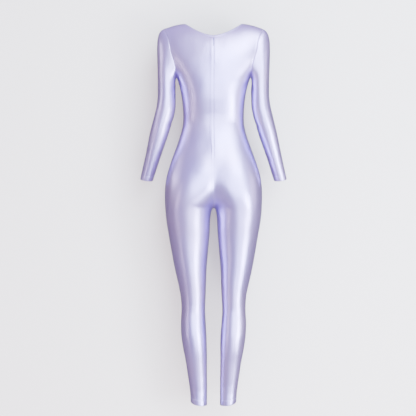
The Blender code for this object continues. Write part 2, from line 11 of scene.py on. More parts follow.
import bpy
import numpy as np
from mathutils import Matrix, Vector


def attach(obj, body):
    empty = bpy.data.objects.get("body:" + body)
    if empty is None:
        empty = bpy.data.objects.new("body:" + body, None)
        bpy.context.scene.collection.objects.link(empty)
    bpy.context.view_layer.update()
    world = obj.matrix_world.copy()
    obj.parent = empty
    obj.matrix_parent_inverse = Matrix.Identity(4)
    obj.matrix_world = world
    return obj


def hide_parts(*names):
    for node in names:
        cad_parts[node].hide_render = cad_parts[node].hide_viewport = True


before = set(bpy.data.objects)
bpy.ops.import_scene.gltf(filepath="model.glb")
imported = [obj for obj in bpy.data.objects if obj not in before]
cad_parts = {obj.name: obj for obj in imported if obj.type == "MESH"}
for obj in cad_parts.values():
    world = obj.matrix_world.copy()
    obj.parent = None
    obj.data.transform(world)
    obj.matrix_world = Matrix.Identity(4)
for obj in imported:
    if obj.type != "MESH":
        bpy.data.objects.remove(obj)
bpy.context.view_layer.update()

# %% [markdown]
# ## The camera first
# The photograph was taken from straight behind, level with the hips, from about four metres. A
# long lens at that distance keeps the legs straight and lets the back neckline dip a little.

# %% Camera
CAMERA_AT = (-0.0195, -4.0, -0.653)
LENS_MM = 97.5


def make_camera():
    """The scene's camera, level and looking along +Y."""
    camera = bpy.data.cameras.new("camera")
    camera.lens = LENS_MM
    camera.sensor_width = 36
    obj = bpy.data.objects.new("camera", camera)
    bpy.context.scene.collection.objects.link(obj)
    obj.location = CAMERA_AT
    obj.rotation_euler = (math.pi / 2, 0, 0)
    bpy.context.scene.camera = obj
    return obj


camera = make_camera()
print("camera at", CAMERA_AT)

# %% [markdown]
# ## The surface that the cloth lies on
# A stretch suit has no folds of its own: it takes the shape it is cut for. So one smooth surface
# carries every panel. It is given by a table of cross-sections, in millimetres, with the height
# first, then the side seam's distance from the centre line, the inner end of the same half section,
# and the back, the side seam and the front in Y. Below the crotch the inner end moves outwards and
# the section becomes two legs.

# %% Sizes of the surface
MM = 0.001
BACK, FRONT = -1, 1
RIGHT, LEFT = 1, -1
UNDERARM = -190.0
ZIP_FOOT = -432.0
SEAT = -600.0
CROTCH = -651.0
THIGH = -690.0
HEM_OUTER = -1338.0
HEM_INNER = -1350.0
HEM_BACK_DIP = 4.0
FORK = 8.0
NECK_HALF_WIDTH = 100.0
NECK_DROP = {BACK: 48.0, FRONT: 98.0}
NECK_CURVE = {BACK: 1.75, FRONT: 2.2}
SHOULDER_TIP = 175.0
SHOULDER_DROP = 18.0
SHOULDER_CURVE = 1.6
BUST_HEIGHT = -205.0
BUST_DEPTH = 30.0
BUST_HALF_WIDTH = 95.0
BUST_RISE_ABOVE = 78.0
BUST_RISE_BELOW = 50.0
BUST_DIP_SHARE = 0.16
BUST_DIP_WIDTH = 24.0
SEAT_DIP = 7.0
SEAT_DIP_HALF_WIDTH = 36.0
SEAT_DIP_HEIGHT = -575.0
SEAT_DIP_REACH = 85.0
BODY = np.array(
    (
        (0, 200.0, -200.0, -92, -4, 84, 2.2),
        (-40, 200.0, -200.0, -92, -4, 84, 2.2),
        (-80, 192.0, -192.0, -92, -4, 84, 2.2),
        (-120, 176.0, -176.0, -92, -4, 84, 2.2),
        (-160, 152.0, -152.0, -92, -4, 84, 2.2),
        (-190, 131.0, -131.0, -92, -4, 84, 2.3),
        (-213, 123.0, -123.0, -92, -3, 84, 2.3),
        (-240, 116.5, -116.5, -89, -2, 83, 2.3),
        (-270, 111.5, -111.5, -84, 0, 82, 2.3),
        (-300, 108.5, -108.5, -77, 2, 81, 2.3),
        (-330, 107.5, -107.5, -71, 4, 82, 2.3),
        (-356, 108.5, -108.5, -70, 4, 85, 2.3),
        (-384, 114.0, -113.0, -74, 3, 89, 2.3),
        (-412, 122.5, -119.0, -81, 2, 92, 2.3),
        (-440, 132.5, -123.0, -90, 0, 94, 2.3),
        (-470, 143.5, -123.0, -100, -4, 94, 2.3),
        (-505, 155.0, -112.0, -109, -8, 92, 2.25),
        (-540, 165.0, -91.0, -116, -12, 89, 2.2),
        (-575, 170.5, -62.0, -119, -14, 86, 2.15),
        (-610, 172.0, -28.0, -117, -15, 82, 2.1),
        (-635, 171.8, -5.0, -112, -14, 78, 2.1),
        (-651, 171.0, 8.0, -107, -13, 76, 2.1),
        (-667, 169.8, 12.0, -102, -12, 74, 2.1),
        (-690, 167.5, 14.3, -96, -11, 73, 2.05),
        (-740, 159.5, 16.0, -87, -9, 70, 2.05),
        (-800, 149.5, 20.6, -80, -7, 66, 2.0),
        (-860, 138.5, 25.4, -73, -6, 61, 2.0),
        (-920, 125.5, 27.4, -66, -6, 54, 2.0),
        (-965, 116.5, 29.2, -60, -6, 47, 2.0),
        (-1010, 113.0, 31.2, -56, -8, 41, 2.0),
        (-1060, 115.3, 28.6, -63, -14, 34, 2.0),
        (-1100, 113.8, 26.0, -67, -18, 28, 2.0),
        (-1150, 107.0, 24.8, -64, -19, 24, 2.0),
        (-1200, 97.5, 24.6, -56, -17, 20, 2.0),
        (-1250, 90.0, 24.4, -49, -15, 18, 2.0),
        (-1300, 83.0, 24.3, -44, -13, 18, 2.0),
        (-1360, 79.0, 24.3, -43, -11, 21, 2.0),
    )
)
ARMHOLE = np.array(
    (
        (-18, 175.0, 175.0),
        (-60, 159.0, 155.0),
        (-105, 150.5, 145.5),
        (-138, 140.0, 136.5),
        (-162, 134.0, 132.5),
        (-190, 131.0, 131.0),
    )
)
print("body sections", len(BODY))

# %% [markdown]
# A row between two sections is read off smooth curves through the table's columns, so the surface
# has no kinks. All of this works on whole arrays at once, which keeps thousands of points quick.


# %% Points of the surface
def smooth_rows(table, at):
    """Rows of a table at some heights, on the smooth curves through its columns."""
    heights = table[:, 0]
    slopes = np.gradient(table, heights, axis=0)
    at = np.clip(at, heights[-1], heights[0])
    i = np.clip(np.searchsorted(-heights, -at, side="right") - 1, 0, len(heights) - 2)
    span = (heights[i + 1] - heights[i])[..., None]
    t = (at - heights[i])[..., None] / span
    start = (2 * t**3 - 3 * t**2 + 1) * table[i] + (t**3 - 2 * t**2 + t) * span * slopes[i]
    end = (3 * t**2 - 2 * t**3) * table[i + 1] + (t**3 - t**2) * span * slopes[i + 1]
    return start + end


def nominal_height(level):
    """Height of a level. Levels above zero are angles over the shoulder."""
    return UNDERARM * (1 - np.where(level > 0, np.sin(level), level))


def level_of(height):
    return 1 - height / UNDERARM


def ring_in_x(level):
    """Centre and half-width in X of the half section, before the fork is rounded."""
    rows = smooth_rows(BODY, nominal_height(level))
    outer, inner = np.hypot(rows[..., 1], FORK), rows[..., 2]
    return (outer + inner) / 2, (outer - inner) / 2


def shoulder_line(x):
    past_neck = np.maximum(x - NECK_HALF_WIDTH, 0) / (SHOULDER_TIP - NECK_HALF_WIDTH)
    return -SHOULDER_DROP * past_neck**SHOULDER_CURVE


def bust(x, z):
    """How far the front stands out over the bust form that it is darted for."""
    rise = np.where(z > BUST_HEIGHT, BUST_RISE_ABOVE, BUST_RISE_BELOW)
    upright = np.exp(-(((z - BUST_HEIGHT) / rise) ** 2))
    sideways = np.exp(-((x / BUST_HALF_WIDTH) ** 4))
    dip = 1 - BUST_DIP_SHARE * np.exp(-((x / BUST_DIP_WIDTH) ** 2))
    return BUST_DEPTH * upright * sideways * dip


def seat_dip(x, z):
    """How far the centre back seam draws the seat in."""
    upright = np.exp(-(((z - SEAT_DIP_HEIGHT) / SEAT_DIP_REACH) ** 4))
    return SEAT_DIP * upright * np.exp(-((x / SEAT_DIP_HALF_WIDTH) ** 2))


def body_points(turn, level):
    """Points of the right half. turn is 0 at the side seam and negative round the back."""
    rows = smooth_rows(BODY, nominal_height(level))
    back, side, front, power = rows[..., 3], rows[..., 4], rows[..., 5], 2 / rows[..., 6]
    centre, half = ring_in_x(level)
    across = np.sign(np.cos(turn)) * np.abs(np.cos(turn)) ** power
    along = np.abs(np.sin(turn)) ** power
    x = np.sqrt(np.maximum((centre + half * across) ** 2 - FORK**2, 0))
    upper = UNDERARM + (shoulder_line(x) - UNDERARM) * np.sin(np.maximum(level, 0))
    z = np.where(level > 0, upper, nominal_height(level))
    reach = np.where(turn < 0, back - side + seat_dip(x, z), front - side + bust(x, z))
    lift = np.where(level > 0, np.cos(level), 1)
    return np.stack((x, (side + reach * along) * lift, z), axis=-1)


print("back waist", body_points(np.array(-math.pi / 2), level_of(np.array(-330.0))).round(1))

# %% [markdown]
# A pattern cutter thinks in seams, so the next helpers find places on the surface by their seams:
# a point of the neckline, of the armhole, or of the centre seam.


# %% Places along the seams
def turn_at(x, level, face):
    """The turn at which the section at a level is x from the centre line."""
    power = smooth_rows(BODY, nominal_height(level))[..., 6] / 2
    centre, half = ring_in_x(level)
    across = np.clip((np.hypot(x, FORK) - centre) / half, -1, 1)
    return face * np.arccos(np.sign(across) * np.abs(across) ** power)


def place(x, z, face):
    """turn and level of the point that is seen at x, z from behind or in front."""
    x, z = np.broadcast_arrays(np.asarray(x, float), np.asarray(z, float))
    share = np.clip((z - UNDERARM) / (shoulder_line(x) - UNDERARM), 0, 1)
    level = np.where(z > UNDERARM, np.arcsin(share), level_of(z))
    return turn_at(x, level, face), level


def neck_place(share, face, down=0.0):
    """On the neckline, or so far down from it: share 0 at the shoulder seam, 1 at the centre."""
    half = NECK_HALF_WIDTH + down
    x = half * np.cos(share * math.pi / 2)
    z = -(NECK_DROP[face] + down) * (1 - (x / half) ** NECK_CURVE[face]) + shoulder_line(x)
    return place(x, z, face)


def armhole_place(share, face):
    """On the armhole: share 0 at the shoulder tip, 1 under the arm."""
    top, foot = ARMHOLE[0, 0], ARMHOLE[-1, 0]
    z = (top + foot) / 2 + (top - foot) / 2 * np.cos(share * math.pi)
    return place(smooth_rows(ARMHOLE, z)[..., 1 if face == BACK else 2], z, face)


print("centre back neck", body_points(*neck_place(np.array(1.0), BACK)).round(1))

# %% [markdown]
# ## Dividing a panel
# Each panel is a grid whose first column follows the neck, the centre seam and the inner leg, and
# whose last column follows the armhole and the side seam. Cloth bends most at its seams, so the
# columns crowd together there, and rows crowd at the hem's stitching and fold.

# %% Grid of a panel
BINDING_WIDTH = 7.0
YOKE_ROWS, SCYE_ROWS, BACK_ROWS, HOOK_ROWS, LEG_ROWS = 44, 28, 86, 26, 140
COLUMNS = 54
NEAR_SEAM = np.array((0.0, 0.4, 0.9, 1.6, 2.6, 4.0, 5.8, 8.0, 10.6))
HEM_DEPTH = 20.0
HEM_ROWS = np.array((25, 23, 21.6, 20.7, 20, 19.3, 18.4, 16.5, 14, 11, 8, 5.4, 3.2, 1.7, 0.7, 0))


def leg_shares():
    """Shares down the inner leg, with the hem's own rows at the end."""
    length = CROTCH - HEM_INNER
    above_hem = 1 - (HEM_ROWS[0] + 3) / length
    return np.concatenate((np.linspace(0, above_hem, LEG_ROWS), 1 - HEM_ROWS / length))


def panel_edges(face, below_neck):
    """turn and level of the inner and outer edge for each row, and how near the row is to the hem."""
    yoke, scye = np.arange(YOKE_ROWS) / YOKE_ROWS, np.arange(SCYE_ROWS) / SCYE_ROWS
    back, hook = np.arange(BACK_ROWS) / BACK_ROWS, np.arange(HOOK_ROWS) / HOOK_ROWS
    down = leg_shares()
    neck_z = body_points(*neck_place(np.array(1.0), face, below_neck))[2]
    side_seat = SEAT + (THIGH - CROTCH)
    coarse_yoke, coarse_scye = 8, 5
    first = yoke * coarse_yoke / (coarse_yoke + coarse_scye)
    second = (coarse_yoke + scye * coarse_scye) / (coarse_yoke + coarse_scye)
    inner = [
        neck_place(yoke, face, below_neck),
        place(0, neck_z + (UNDERARM - neck_z) * scye, face),
        place(0, UNDERARM + (SEAT - UNDERARM) * back, face),
        place(0, SEAT + (CROTCH - SEAT) * np.sin(hook * math.pi / 2), face),
        (face * math.pi + 0 * down, level_of(CROTCH + (HEM_INNER - CROTCH) * down)),
    ]
    outer = [
        armhole_place(first, face),
        armhole_place(second, face),
        (0 * back, level_of(UNDERARM + (side_seat - UNDERARM) * back)),
        (0 * hook, level_of(side_seat + (THIGH - side_seat) * hook)),
        (0 * down, level_of(THIGH + (HEM_OUTER - THIGH) * down)),
    ]
    near_hem = np.zeros(YOKE_ROWS + SCYE_ROWS + BACK_ROWS + HOOK_ROWS)
    near_hem = np.concatenate((near_hem, np.sqrt(0.25 + 2 * down) - 0.5))
    join = [np.concatenate([part[k] for part in side]) for side in (inner, outer) for k in (0, 1)]
    return *join, near_hem


def panel_points(edges, shares, face):
    """Points of the right back or front panel at shares of each row, from inner to outer edge."""
    inner_turn, inner_level, outer_turn, outer_level, near_hem = (e[:, None] for e in edges)
    turn = inner_turn + (outer_turn - inner_turn) * shares
    level = inner_level + (outer_level - inner_level) * shares
    dip = -face * HEM_BACK_DIP * np.sin(shares * math.pi) * near_hem**6
    level = np.where(level <= 0, level_of(nominal_height(level) - dip), level)
    return body_points(turn, level)


def steps_along(points, axis):
    """Distance from the first row or column, measured along the cloth."""
    step = np.linalg.norm(np.diff(points, axis=axis), axis=-1)
    start = np.zeros_like(np.take(step, [0], axis=axis))
    return np.concatenate((start, np.cumsum(step, axis=axis)), axis=axis)


def panel_grid(face, below_neck):
    """The right panel's points, with columns crowded at its two long seams."""
    edges = panel_edges(face, below_neck)
    even = np.linspace(0, 1, 33)[None, :] + np.zeros((len(edges[0]), 1))
    length = steps_along(panel_points(edges, even, face), 1)[:, -1:]
    near = NEAR_SEAM[None, :] / length
    middle = np.linspace(0, 1, COLUMNS)[None, 1:-1]
    middle = near[:, -1:] + middle * (1 - 2 * near[:, -1:])
    shares = np.concatenate((near, middle, 1 - near[:, ::-1]), axis=1)
    return panel_points(edges, shares, face)


grids = {face: panel_grid(face, BINDING_WIDTH) for face in (BACK, FRONT)}
print("panel grid", grids[BACK].shape)

# %% [markdown]
# ## The sleeve's surface
# A sleeve is a tube from the armhole to the cuff. Its cap leaves the armhole at a slope, so it
# swells over the shoulder as a set-in sleeve does, and the lower arm bends a little forwards.

# %% Grid of a sleeve
SLEEVE = np.array(
    (
        (-222, 165.6, -8, 64.0, 88),
        (-262, 165.8, -11, 64.5, 85),
        (-300, 168.8, -14, 67.5, 82),
        (-338, 178.0, -12, 67.0, 80),
        (-380, 190.0, -6, 65.5, 77),
        (-425, 203.0, 3, 60.0, 71),
        (-470, 216.0, 13, 53.5, 64),
        (-515, 229.0, 24, 49.5, 57),
        (-552, 239.5, 33, 46.0, 51),
    )
)
CUFF_EXTRA_TILT = math.radians(7)
CUFF_TILT_LENGTH = 25.4
CAP_FULLNESS = 0.24
CAP_FLATTER_ON_TOP = 0.05
CAP_LEAVE = 0.3
RING = 112
CAP_SHARES = np.array((0, 0.004, 0.009, 0.016, 0.026, 0.04, 0.058, 0.08))
CAP_ROWS = 34
ARM_ROWS = 80
CUFF_ROWS = np.array((24, 22, 20.7, 20, 19.3, 18, 15, 11, 8, 5.4, 3.2, 1.7, 0.7, 0))


def unit(vectors):
    return vectors / np.maximum(np.linalg.norm(vectors, axis=-1, keepdims=True), 1e-9)


def armhole_ring():
    """The armhole's points, from the shoulder tip down the front and up the back."""
    half = RING // 2
    down = np.arange(half + 1) / half
    front = body_points(*armhole_place(down, FRONT))
    back = body_points(*armhole_place(down[-2:0:-1], BACK))
    return np.concatenate((front, back))


def arm_rings():
    """Rings from the upper arm to the cuff, each turning from the outside to the front."""
    top, foot = SLEEVE[0, 0], SLEEVE[-1, 0]
    length = (top - foot) * 1.03
    z = np.linspace(top, foot + CUFF_ROWS[0] + 4, ARM_ROWS)
    z = np.concatenate((z, foot + CUFF_ROWS * (top - foot) / length))
    rows = smooth_rows(SLEEVE, z)
    centres = rows[:, [1, 2, 0]]
    along = unit(np.gradient(centres, z, axis=0) * -1)
    deep = unit(np.array((0, 1, 0)) - along * along[:, 1:2])
    across = unit(np.cross(deep, along))
    across *= np.sign(across[:, :1])
    tilt = np.clip((foot + CUFF_TILT_LENGTH - z) / CUFF_TILT_LENGTH, 0, 1) * CUFF_EXTRA_TILT
    across = across * np.cos(tilt)[:, None] + np.cross(deep, across) * np.sin(tilt)[:, None]
    turn = np.arange(RING) / RING * 2 * math.pi
    wide = across[:, None] * (rows[:, 3] / 2)[:, None, None] * np.cos(turn)[None, :, None]
    thick = deep[:, None] * (rows[:, 4] / 2)[:, None, None] * np.sin(turn)[None, :, None]
    return centres[:, None] + wide + thick


def sleeve_grid():
    """The right sleeve, row by row from the armhole to the cuff."""
    armhole, rings = armhole_ring(), arm_rings()
    turn = np.arange(RING) / RING * 2 * math.pi
    outwards = 0.74 + 0.22 * np.cos(turn)
    leave = np.stack((outwards, 0 * turn, -np.sqrt(1 - outwards**2)), axis=-1)
    reach = np.linalg.norm(rings[0] - armhole, axis=-1)
    first = armhole + leave * CAP_LEAVE
    hold = (reach * (CAP_FULLNESS - CAP_FLATTER_ON_TOP * np.cos(turn)))[:, None]
    last = rings[0] + np.outer(reach * (0.46 + 0.1 * np.cos(turn)), (0, 0, 1))
    t = np.concatenate((CAP_SHARES, np.linspace(CAP_SHARES[-1], 1, CAP_ROWS)[1:-1]))[:, None, None]
    cap = first * (1 - t) ** 3 + (first + leave * hold) * (3 * t * (1 - t) ** 2)
    cap = cap + last * (3 * t**2 * (1 - t)) + rings[0] * t**3
    return np.concatenate((cap, rings))


grids["sleeve"] = sleeve_grid()
print("sleeve grid", grids["sleeve"].shape)

# %% [markdown]
# ## Relief on the cloth
# Three things break up a smooth stretch suit. The seams sink a little between their two panels,
# over an allowance that lifts the cloth beside them. The zip's tapes show as faint steps. And soft
# creases run where the cloth is pulled: under the arms, below the seat, at the fork, behind the
# knees and inside the elbows. Each is a height along the surface's normal, so they simply add up.

# %% Seam relief
SEAM_SINK = 0.35
SEAM_SINK_WIDTH = 1.0
ALLOWANCE_RISE = 0.42
ALLOWANCE_WIDTH = 6.5
TAPE_RISE = 0.34
TAPE_WIDTH = 11.0
HEM_RISE = 0.3
HEM_GROOVE = 0.35
FOLD_WIDTH = 1.1


def fade(low, high, value):
    """0 below low, 1 above high, with a soft step between."""
    t = np.clip((value - low) / (high - low), 0, 1)
    return t * t * (3 - 2 * t)


def sink(distance):
    """The small valley right at a seam."""
    return -SEAM_SINK * np.exp(-((distance / SEAM_SINK_WIDTH) ** 2))


def lifted(distance, width, rise):
    """Cloth that lies over a flat strip of this width."""
    return rise * (1 - fade(width - 1.3, width + 1.3, distance))


def hem_relief(distance):
    """The turned-up hem: a thicker edge, a stitched groove and a rounded fold."""
    groove = -HEM_GROOVE * np.exp(-(((distance - HEM_DEPTH) / 0.9) ** 2))
    fold = -SEAM_SINK * np.exp(-((distance / FOLD_WIDTH) ** 2))
    return lifted(distance, HEM_DEPTH, HEM_RISE) + groove + fold


print("seams sink", SEAM_SINK, "mm; allowances lift", ALLOWANCE_RISE, "mm")

# %% [markdown]
# Creases are listed one by one. Each row of the table gives a side, a face, the trough's half-width
# and depth, and the points it runs through, as x and z seen from that face. The back ones follow
# the photograph. The front is hidden there, so it gets similar ones, and no two sides are alike.

# %% Creases of the body
CREASES = (
    # Under the arms, from behind
    (RIGHT, BACK, 9.5, 0.95, ((133, -170), (126, -196), (113, -220), (96, -240))),
    (RIGHT, BACK, 8.1, 0.60, ((131, -186), (121, -222), (112, -262))),
    (LEFT, BACK, 10.1, 0.80, ((133, -172), (124, -200), (110, -226), (90, -252))),
    (LEFT, BACK, 7.4, 0.50, ((130, -190), (119, -230), (111, -276))),
    # Waist
    (RIGHT, BACK, 12.0, 0.20, ((108, -318), (92, -326), (70, -322))),
    (LEFT, BACK, 13.0, 0.18, ((108, -338), (90, -346), (66, -340))),
    # Seat and the fork
    (RIGHT, BACK, 9.0, 0.60, ((24, -622), (36, -632), (48, -648), (58, -664))),
    (RIGHT, BACK, 7.0, 0.35, ((12, -652), (28, -668), (40, -688))),
    (LEFT, BACK, 7.0, 0.40, ((11, -655), (22, -674), (30, -700))),
    (LEFT, BACK, 24.0, -1.10, ((0, -380), (0, -440), (0, -510))),
    (RIGHT, BACK, 24.0, -1.10, ((0, -380), (0, -440), (0, -510))),
    # Thighs
    (LEFT, BACK, 12.2, 0.40, ((122, -470), (134, -600), (142, -680), (124, -820))),
    (RIGHT, BACK, 13.5, 0.35, ((128, -520), (141, -640), (134, -760))),
    # Behind the knees
    (RIGHT, BACK, 10.8, 0.55, ((40, -1004), (68, -1010), (98, -1002))),
    (RIGHT, BACK, 8.1, 0.30, ((46, -1026), (72, -1032), (96, -1024))),
    (LEFT, BACK, 10.8, 0.50, ((38, -1012), (64, -1020), (98, -1012))),
    (LEFT, BACK, 8.8, 0.35, ((50, -990), (76, -994), (100, -986))),
    # Above the ankles
    (RIGHT, BACK, 8.1, 0.25, ((34, -1270), (52, -1276), (74, -1268))),
    (LEFT, BACK, 8.1, 0.30, ((32, -1290), (50, -1296), (70, -1288))),
    # The same places in front
    (RIGHT, FRONT, 9.5, 0.85, ((132, -172), (122, -200), (104, -222))),
    (LEFT, FRONT, 10.1, 0.75, ((131, -176), (119, -206), (100, -226))),
    (RIGHT, FRONT, 16.2, 0.50, ((20, -196), (44, -250), (60, -272))),
    (LEFT, FRONT, 16.2, 0.45, ((22, -204), (46, -256), (64, -280))),
    (RIGHT, FRONT, 12.2, 0.80, ((12, -640), (44, -606), (92, -560), (126, -530))),
    (LEFT, FRONT, 12.2, 0.70, ((10, -646), (42, -616), (86, -574), (122, -548))),
    (RIGHT, FRONT, 8.1, 0.60, ((11, -656), (30, -640), (58, -622))),
    (LEFT, FRONT, 8.1, 0.55, ((12, -658), (32, -648), (56, -634))),
    (RIGHT, FRONT, 10.8, 0.45, ((40, -1030), (68, -1036), (102, -1026))),
    (LEFT, FRONT, 10.8, 0.40, ((42, -1046), (66, -1052), (98, -1040))),
    (RIGHT, FRONT, 8.1, 0.35, ((32, -1286), (52, -1294), (76, -1284))),
    (LEFT, FRONT, 8.1, 0.30, ((30, -1270), (48, -1278), (74, -1266))),
)
PATH_STEPS = 60


def along_path(points):
    """Evenly spread points on the smooth line through a few."""
    points = np.asarray(points, float)
    at = np.arange(len(points))
    t = np.linspace(0, len(points) - 1, PATH_STEPS)
    i = np.clip(t.astype(int), 0, len(points) - 2)
    slopes = np.gradient(points, at, axis=0)
    t = (t - i)[:, None]
    start = (2 * t**3 - 3 * t**2 + 1) * points[i] + (t**3 - 2 * t**2 + t) * slopes[i]
    return start + (3 * t**2 - 2 * t**3) * points[i + 1] + (t**3 - t**2) * slopes[i + 1]


def crease_line(side, face, seen):
    """The crease's points on the surface, in millimetres."""
    seen = along_path(seen)
    points = body_points(*place(seen[:, 0], seen[:, 1], face))
    return points * (side, 1, 1)


def trough(points, normals, line, width, depth):
    """A soft valley along a line, with a low ridge on either side, that dies away at its ends."""
    from_line = np.linalg.norm(points[:, None] - line[None], axis=-1)
    nearest = from_line.argmin(axis=1)
    distance = from_line[np.arange(len(points)), nearest] / width
    share = nearest / (len(line) - 1)
    ends = np.sin(np.clip(share, 0.0, 1.0) * math.pi) ** 0.7
    shape = -np.exp(-(distance**2)) + 0.34 * np.exp(-((distance - 1.9) ** 2))
    return depth * ends * shape


def body_creases(points, normals, side, face):
    """Heights of all creases of one side, with the other face's near the seams."""
    flat, heights = points.reshape(-1, 3), np.zeros(points.shape[0] * points.shape[1])
    for its_side, its_face, width, depth, seen in CREASES:
        if its_side != side:
            continue
        line = crease_line(its_side, its_face, seen)
        reach = 4.5 * width
        low, high = line.min(axis=0) - reach, line.max(axis=0) + reach
        near = np.flatnonzero(((flat > low) & (flat < high)).all(axis=1))
        if its_face != face:
            near = near[np.abs(flat[near, 1] - line[:, 1].mean()) < 2 * reach]
        heights[near] += trough(flat[near], None, line, width, depth)
    return heights.reshape(points.shape[:2])


print("creases", len(CREASES))

# %% [markdown]
# Knit that is pulled over a form is never quite even. A few long, low waves stand for that, and
# make the highlights wander a little. They are sums of sines with fixed phases, so that they run on
# over the seams and come out the same each time.

# %% Unevenness
WAVES = (
    # wave vector per metre, phase, height in millimetres
    ((9.0, 3.0, 4.5), 0.4, 0.24),
    ((-8.0, 8.0, 7.0), 1.9, 0.16),
    ((17.0, -5.0, 6.0), 3.1, 0.09),
    ((-15.0, 11.0, 13.0), 5.2, 0.06),
    ((28.0, 14.0, -11.0), 0.9, 0.03),
)


def unevenness(points):
    total = np.zeros(points.shape[:-1])
    for wave, phase, height in WAVES:
        total += height * np.sin(points @ np.array(wave) * MM * 2 * math.pi + phase)
    return total


def grid_normals(points, closed_round=False):
    """Outward unit normals of a grid of points."""
    down = np.gradient(points, axis=0)
    if closed_round:
        wrapped = np.concatenate((points[:, -1:], points, points[:, :1]), axis=1)
        across = np.gradient(wrapped, axis=1)[:, 1:-1]
    else:
        across = np.gradient(points, axis=1)
    return unit(np.cross(down, across))


normals = grid_normals(grids["sleeve"], True)
middle = grids["sleeve"].mean(axis=1, keepdims=True)
print("sleeve normals point out:", bool(((grids["sleeve"] - middle) * normals).sum(-1).mean() > 0))

# %% [markdown]
# ## From a grid to a shell
# A real panel has a thickness, an outside with a gleam and a duller inside. So each grid becomes a
# thin closed shell: the relief is added along the normals, and the inner face follows behind. The
# shell also carries a UV map in metres, so that the knit keeps its true size, and three numbers at
# each point that its material reads: how deep it lies in a seam or crease, which the material uses to
# paint shade there, and whether it's inside.

# %% Shells
CLOTH = 0.8
SEAM_GAP = 0.06
ZIP_GAP = 0.22
ZIP_GAP_AT_SLIDER = 0.6
SLIDER_HEIGHT = -63.5
GAP_REACH = 6.0
suit_collection = bpy.data.collections.new("stretch_suit")
bpy.context.scene.collection.children.link(suit_collection)


def grid_faces(rows, columns, closed_round, thick_by):
    """Corner numbers of a shell's faces, and the same with the round's seam left open, for UVs."""
    number = np.arange(rows * columns).reshape(rows, columns)
    wide = columns + 1 if closed_round else columns
    column = np.arange(wide) % columns
    out, flat = number[:, column], np.arange(rows * wide).reshape(rows, wide)
    faces, corners = [], []
    for grid, made, back in ((out, faces, thick_by), (flat, corners, 0)):
        inside = grid + back
        made.append((grid[:-1, :-1], grid[1:, :-1], grid[1:, 1:], grid[:-1, 1:]))
        made.append((inside[:-1, 1:], inside[1:, 1:], inside[1:, :-1], inside[:-1, :-1]))
        made.append((grid[:1, :-1], grid[:1, 1:], inside[:1, 1:], inside[:1, :-1]))
        made.append((grid[-1:, 1:], grid[-1:, :-1], inside[-1:, :-1], inside[-1:, 1:]))
        if not closed_round:
            made.append((grid[1:, :1], grid[:-1, :1], inside[:-1, :1], inside[1:, :1]))
            made.append((grid[:-1, -1:], grid[1:, -1:], inside[1:, -1:], inside[:-1, -1:]))
    return [np.concatenate([np.stack(f, -1).reshape(-1, 4) for f in m]) for m in (faces, corners)]


def shell_object(name, outer, inner, sign, closed_round=False, marks=()):
    """A closed shell between two grids of points, in millimetres. marks are named point values."""
    rows, columns = outer.shape[:2]
    faces, corners = grid_faces(rows, columns, closed_round, rows * columns)
    if sign < 0:
        faces, corners = faces[:, ::-1], corners[:, ::-1]
    points = np.concatenate((outer.reshape(-1, 3), inner.reshape(-1, 3))) * MM
    mesh = bpy.data.meshes.new(name)
    mesh.from_pydata(points.tolist(), [], faces.tolist())
    around = outer
    if closed_round:
        around = np.concatenate((outer, outer[:, :1]), axis=1)
    across, down = steps_along(around, 1), steps_along(around, 0)
    across = across - across[:, -1:] / 2
    down = down.mean(axis=1, keepdims=True) + 0 * down
    uv = np.stack((across, -down), axis=-1).reshape(-1, 2) * MM
    layer = mesh.uv_layers.new(name="cloth")
    layer.data.foreach_set("uv", uv[corners.reshape(-1)].astype(np.float32).ravel())
    inside = np.concatenate((np.zeros(rows * columns), np.ones(rows * columns)))
    for mark, values in [("inside", inside), *marks]:
        if len(np.ravel(values)) == rows * columns:
            values = np.concatenate((np.ravel(values), np.ravel(values)))
        attribute = mesh.attributes.new(mark, "FLOAT", "POINT")
        attribute.data.foreach_set("value", np.ravel(values).astype(np.float32))
    mesh.shade_smooth()
    mesh.set_sharp_from_angle(angle=math.radians(50))
    mesh.update()
    obj = bpy.data.objects.new(name, mesh)
    suit_collection.objects.link(obj)
    return obj


def cloth_area(points, closed_round=False):
    """Area of a grid of points, in square metres."""
    around = np.concatenate((points, points[:, :1]), axis=1) if closed_round else points
    one = np.cross(around[1:, 1:] - around[:-1, :-1], around[:-1, 1:] - around[1:, :-1])
    return float(np.linalg.norm(one, axis=-1).sum() / 2) * MM * MM


print("cloth is", CLOTH, "mm thick")

# %% [markdown]
# ## The four body panels
# Real stretch suits are sewn from a left and a right half, each with a back and a front. The panels
# meet at the shoulders, the sides, the inner legs and the centre, and the back's centre seam holds
# the zip. Left and right are cut as mirror images, but their creases differ.

# %% Body panels
TUCKED_UNDER = 1.0
CROTCH_ROW = YOKE_ROWS + SCYE_ROWS + BACK_ROWS + HOOK_ROWS


def centre_gap(z, face):
    """Half the gap at the centre seam."""
    at_slider = np.exp(-(((z - SLIDER_HEIGHT) / 12) ** 2))
    zip_gap = ZIP_GAP + (ZIP_GAP_AT_SLIDER - ZIP_GAP) * at_slider
    return np.where((face == BACK) & (z > ZIP_FOOT), zip_gap, SEAM_GAP)


SEAT_LEAN = 10.0
SEAT_LEAN_DEPTH = 6.5
SEAT_LEAN_RIGHT = 42.0
SEAT_LEAN_LEFT = 24.0
HOLLOWS = (
    # height, reach up and down, rise: waist, below the seat, behind the knee
    (-304.0, 62.0, 3.0),
    (-700.0, 60.0, 5.0),
    (-1004.0, 42.0, 2.2),
)


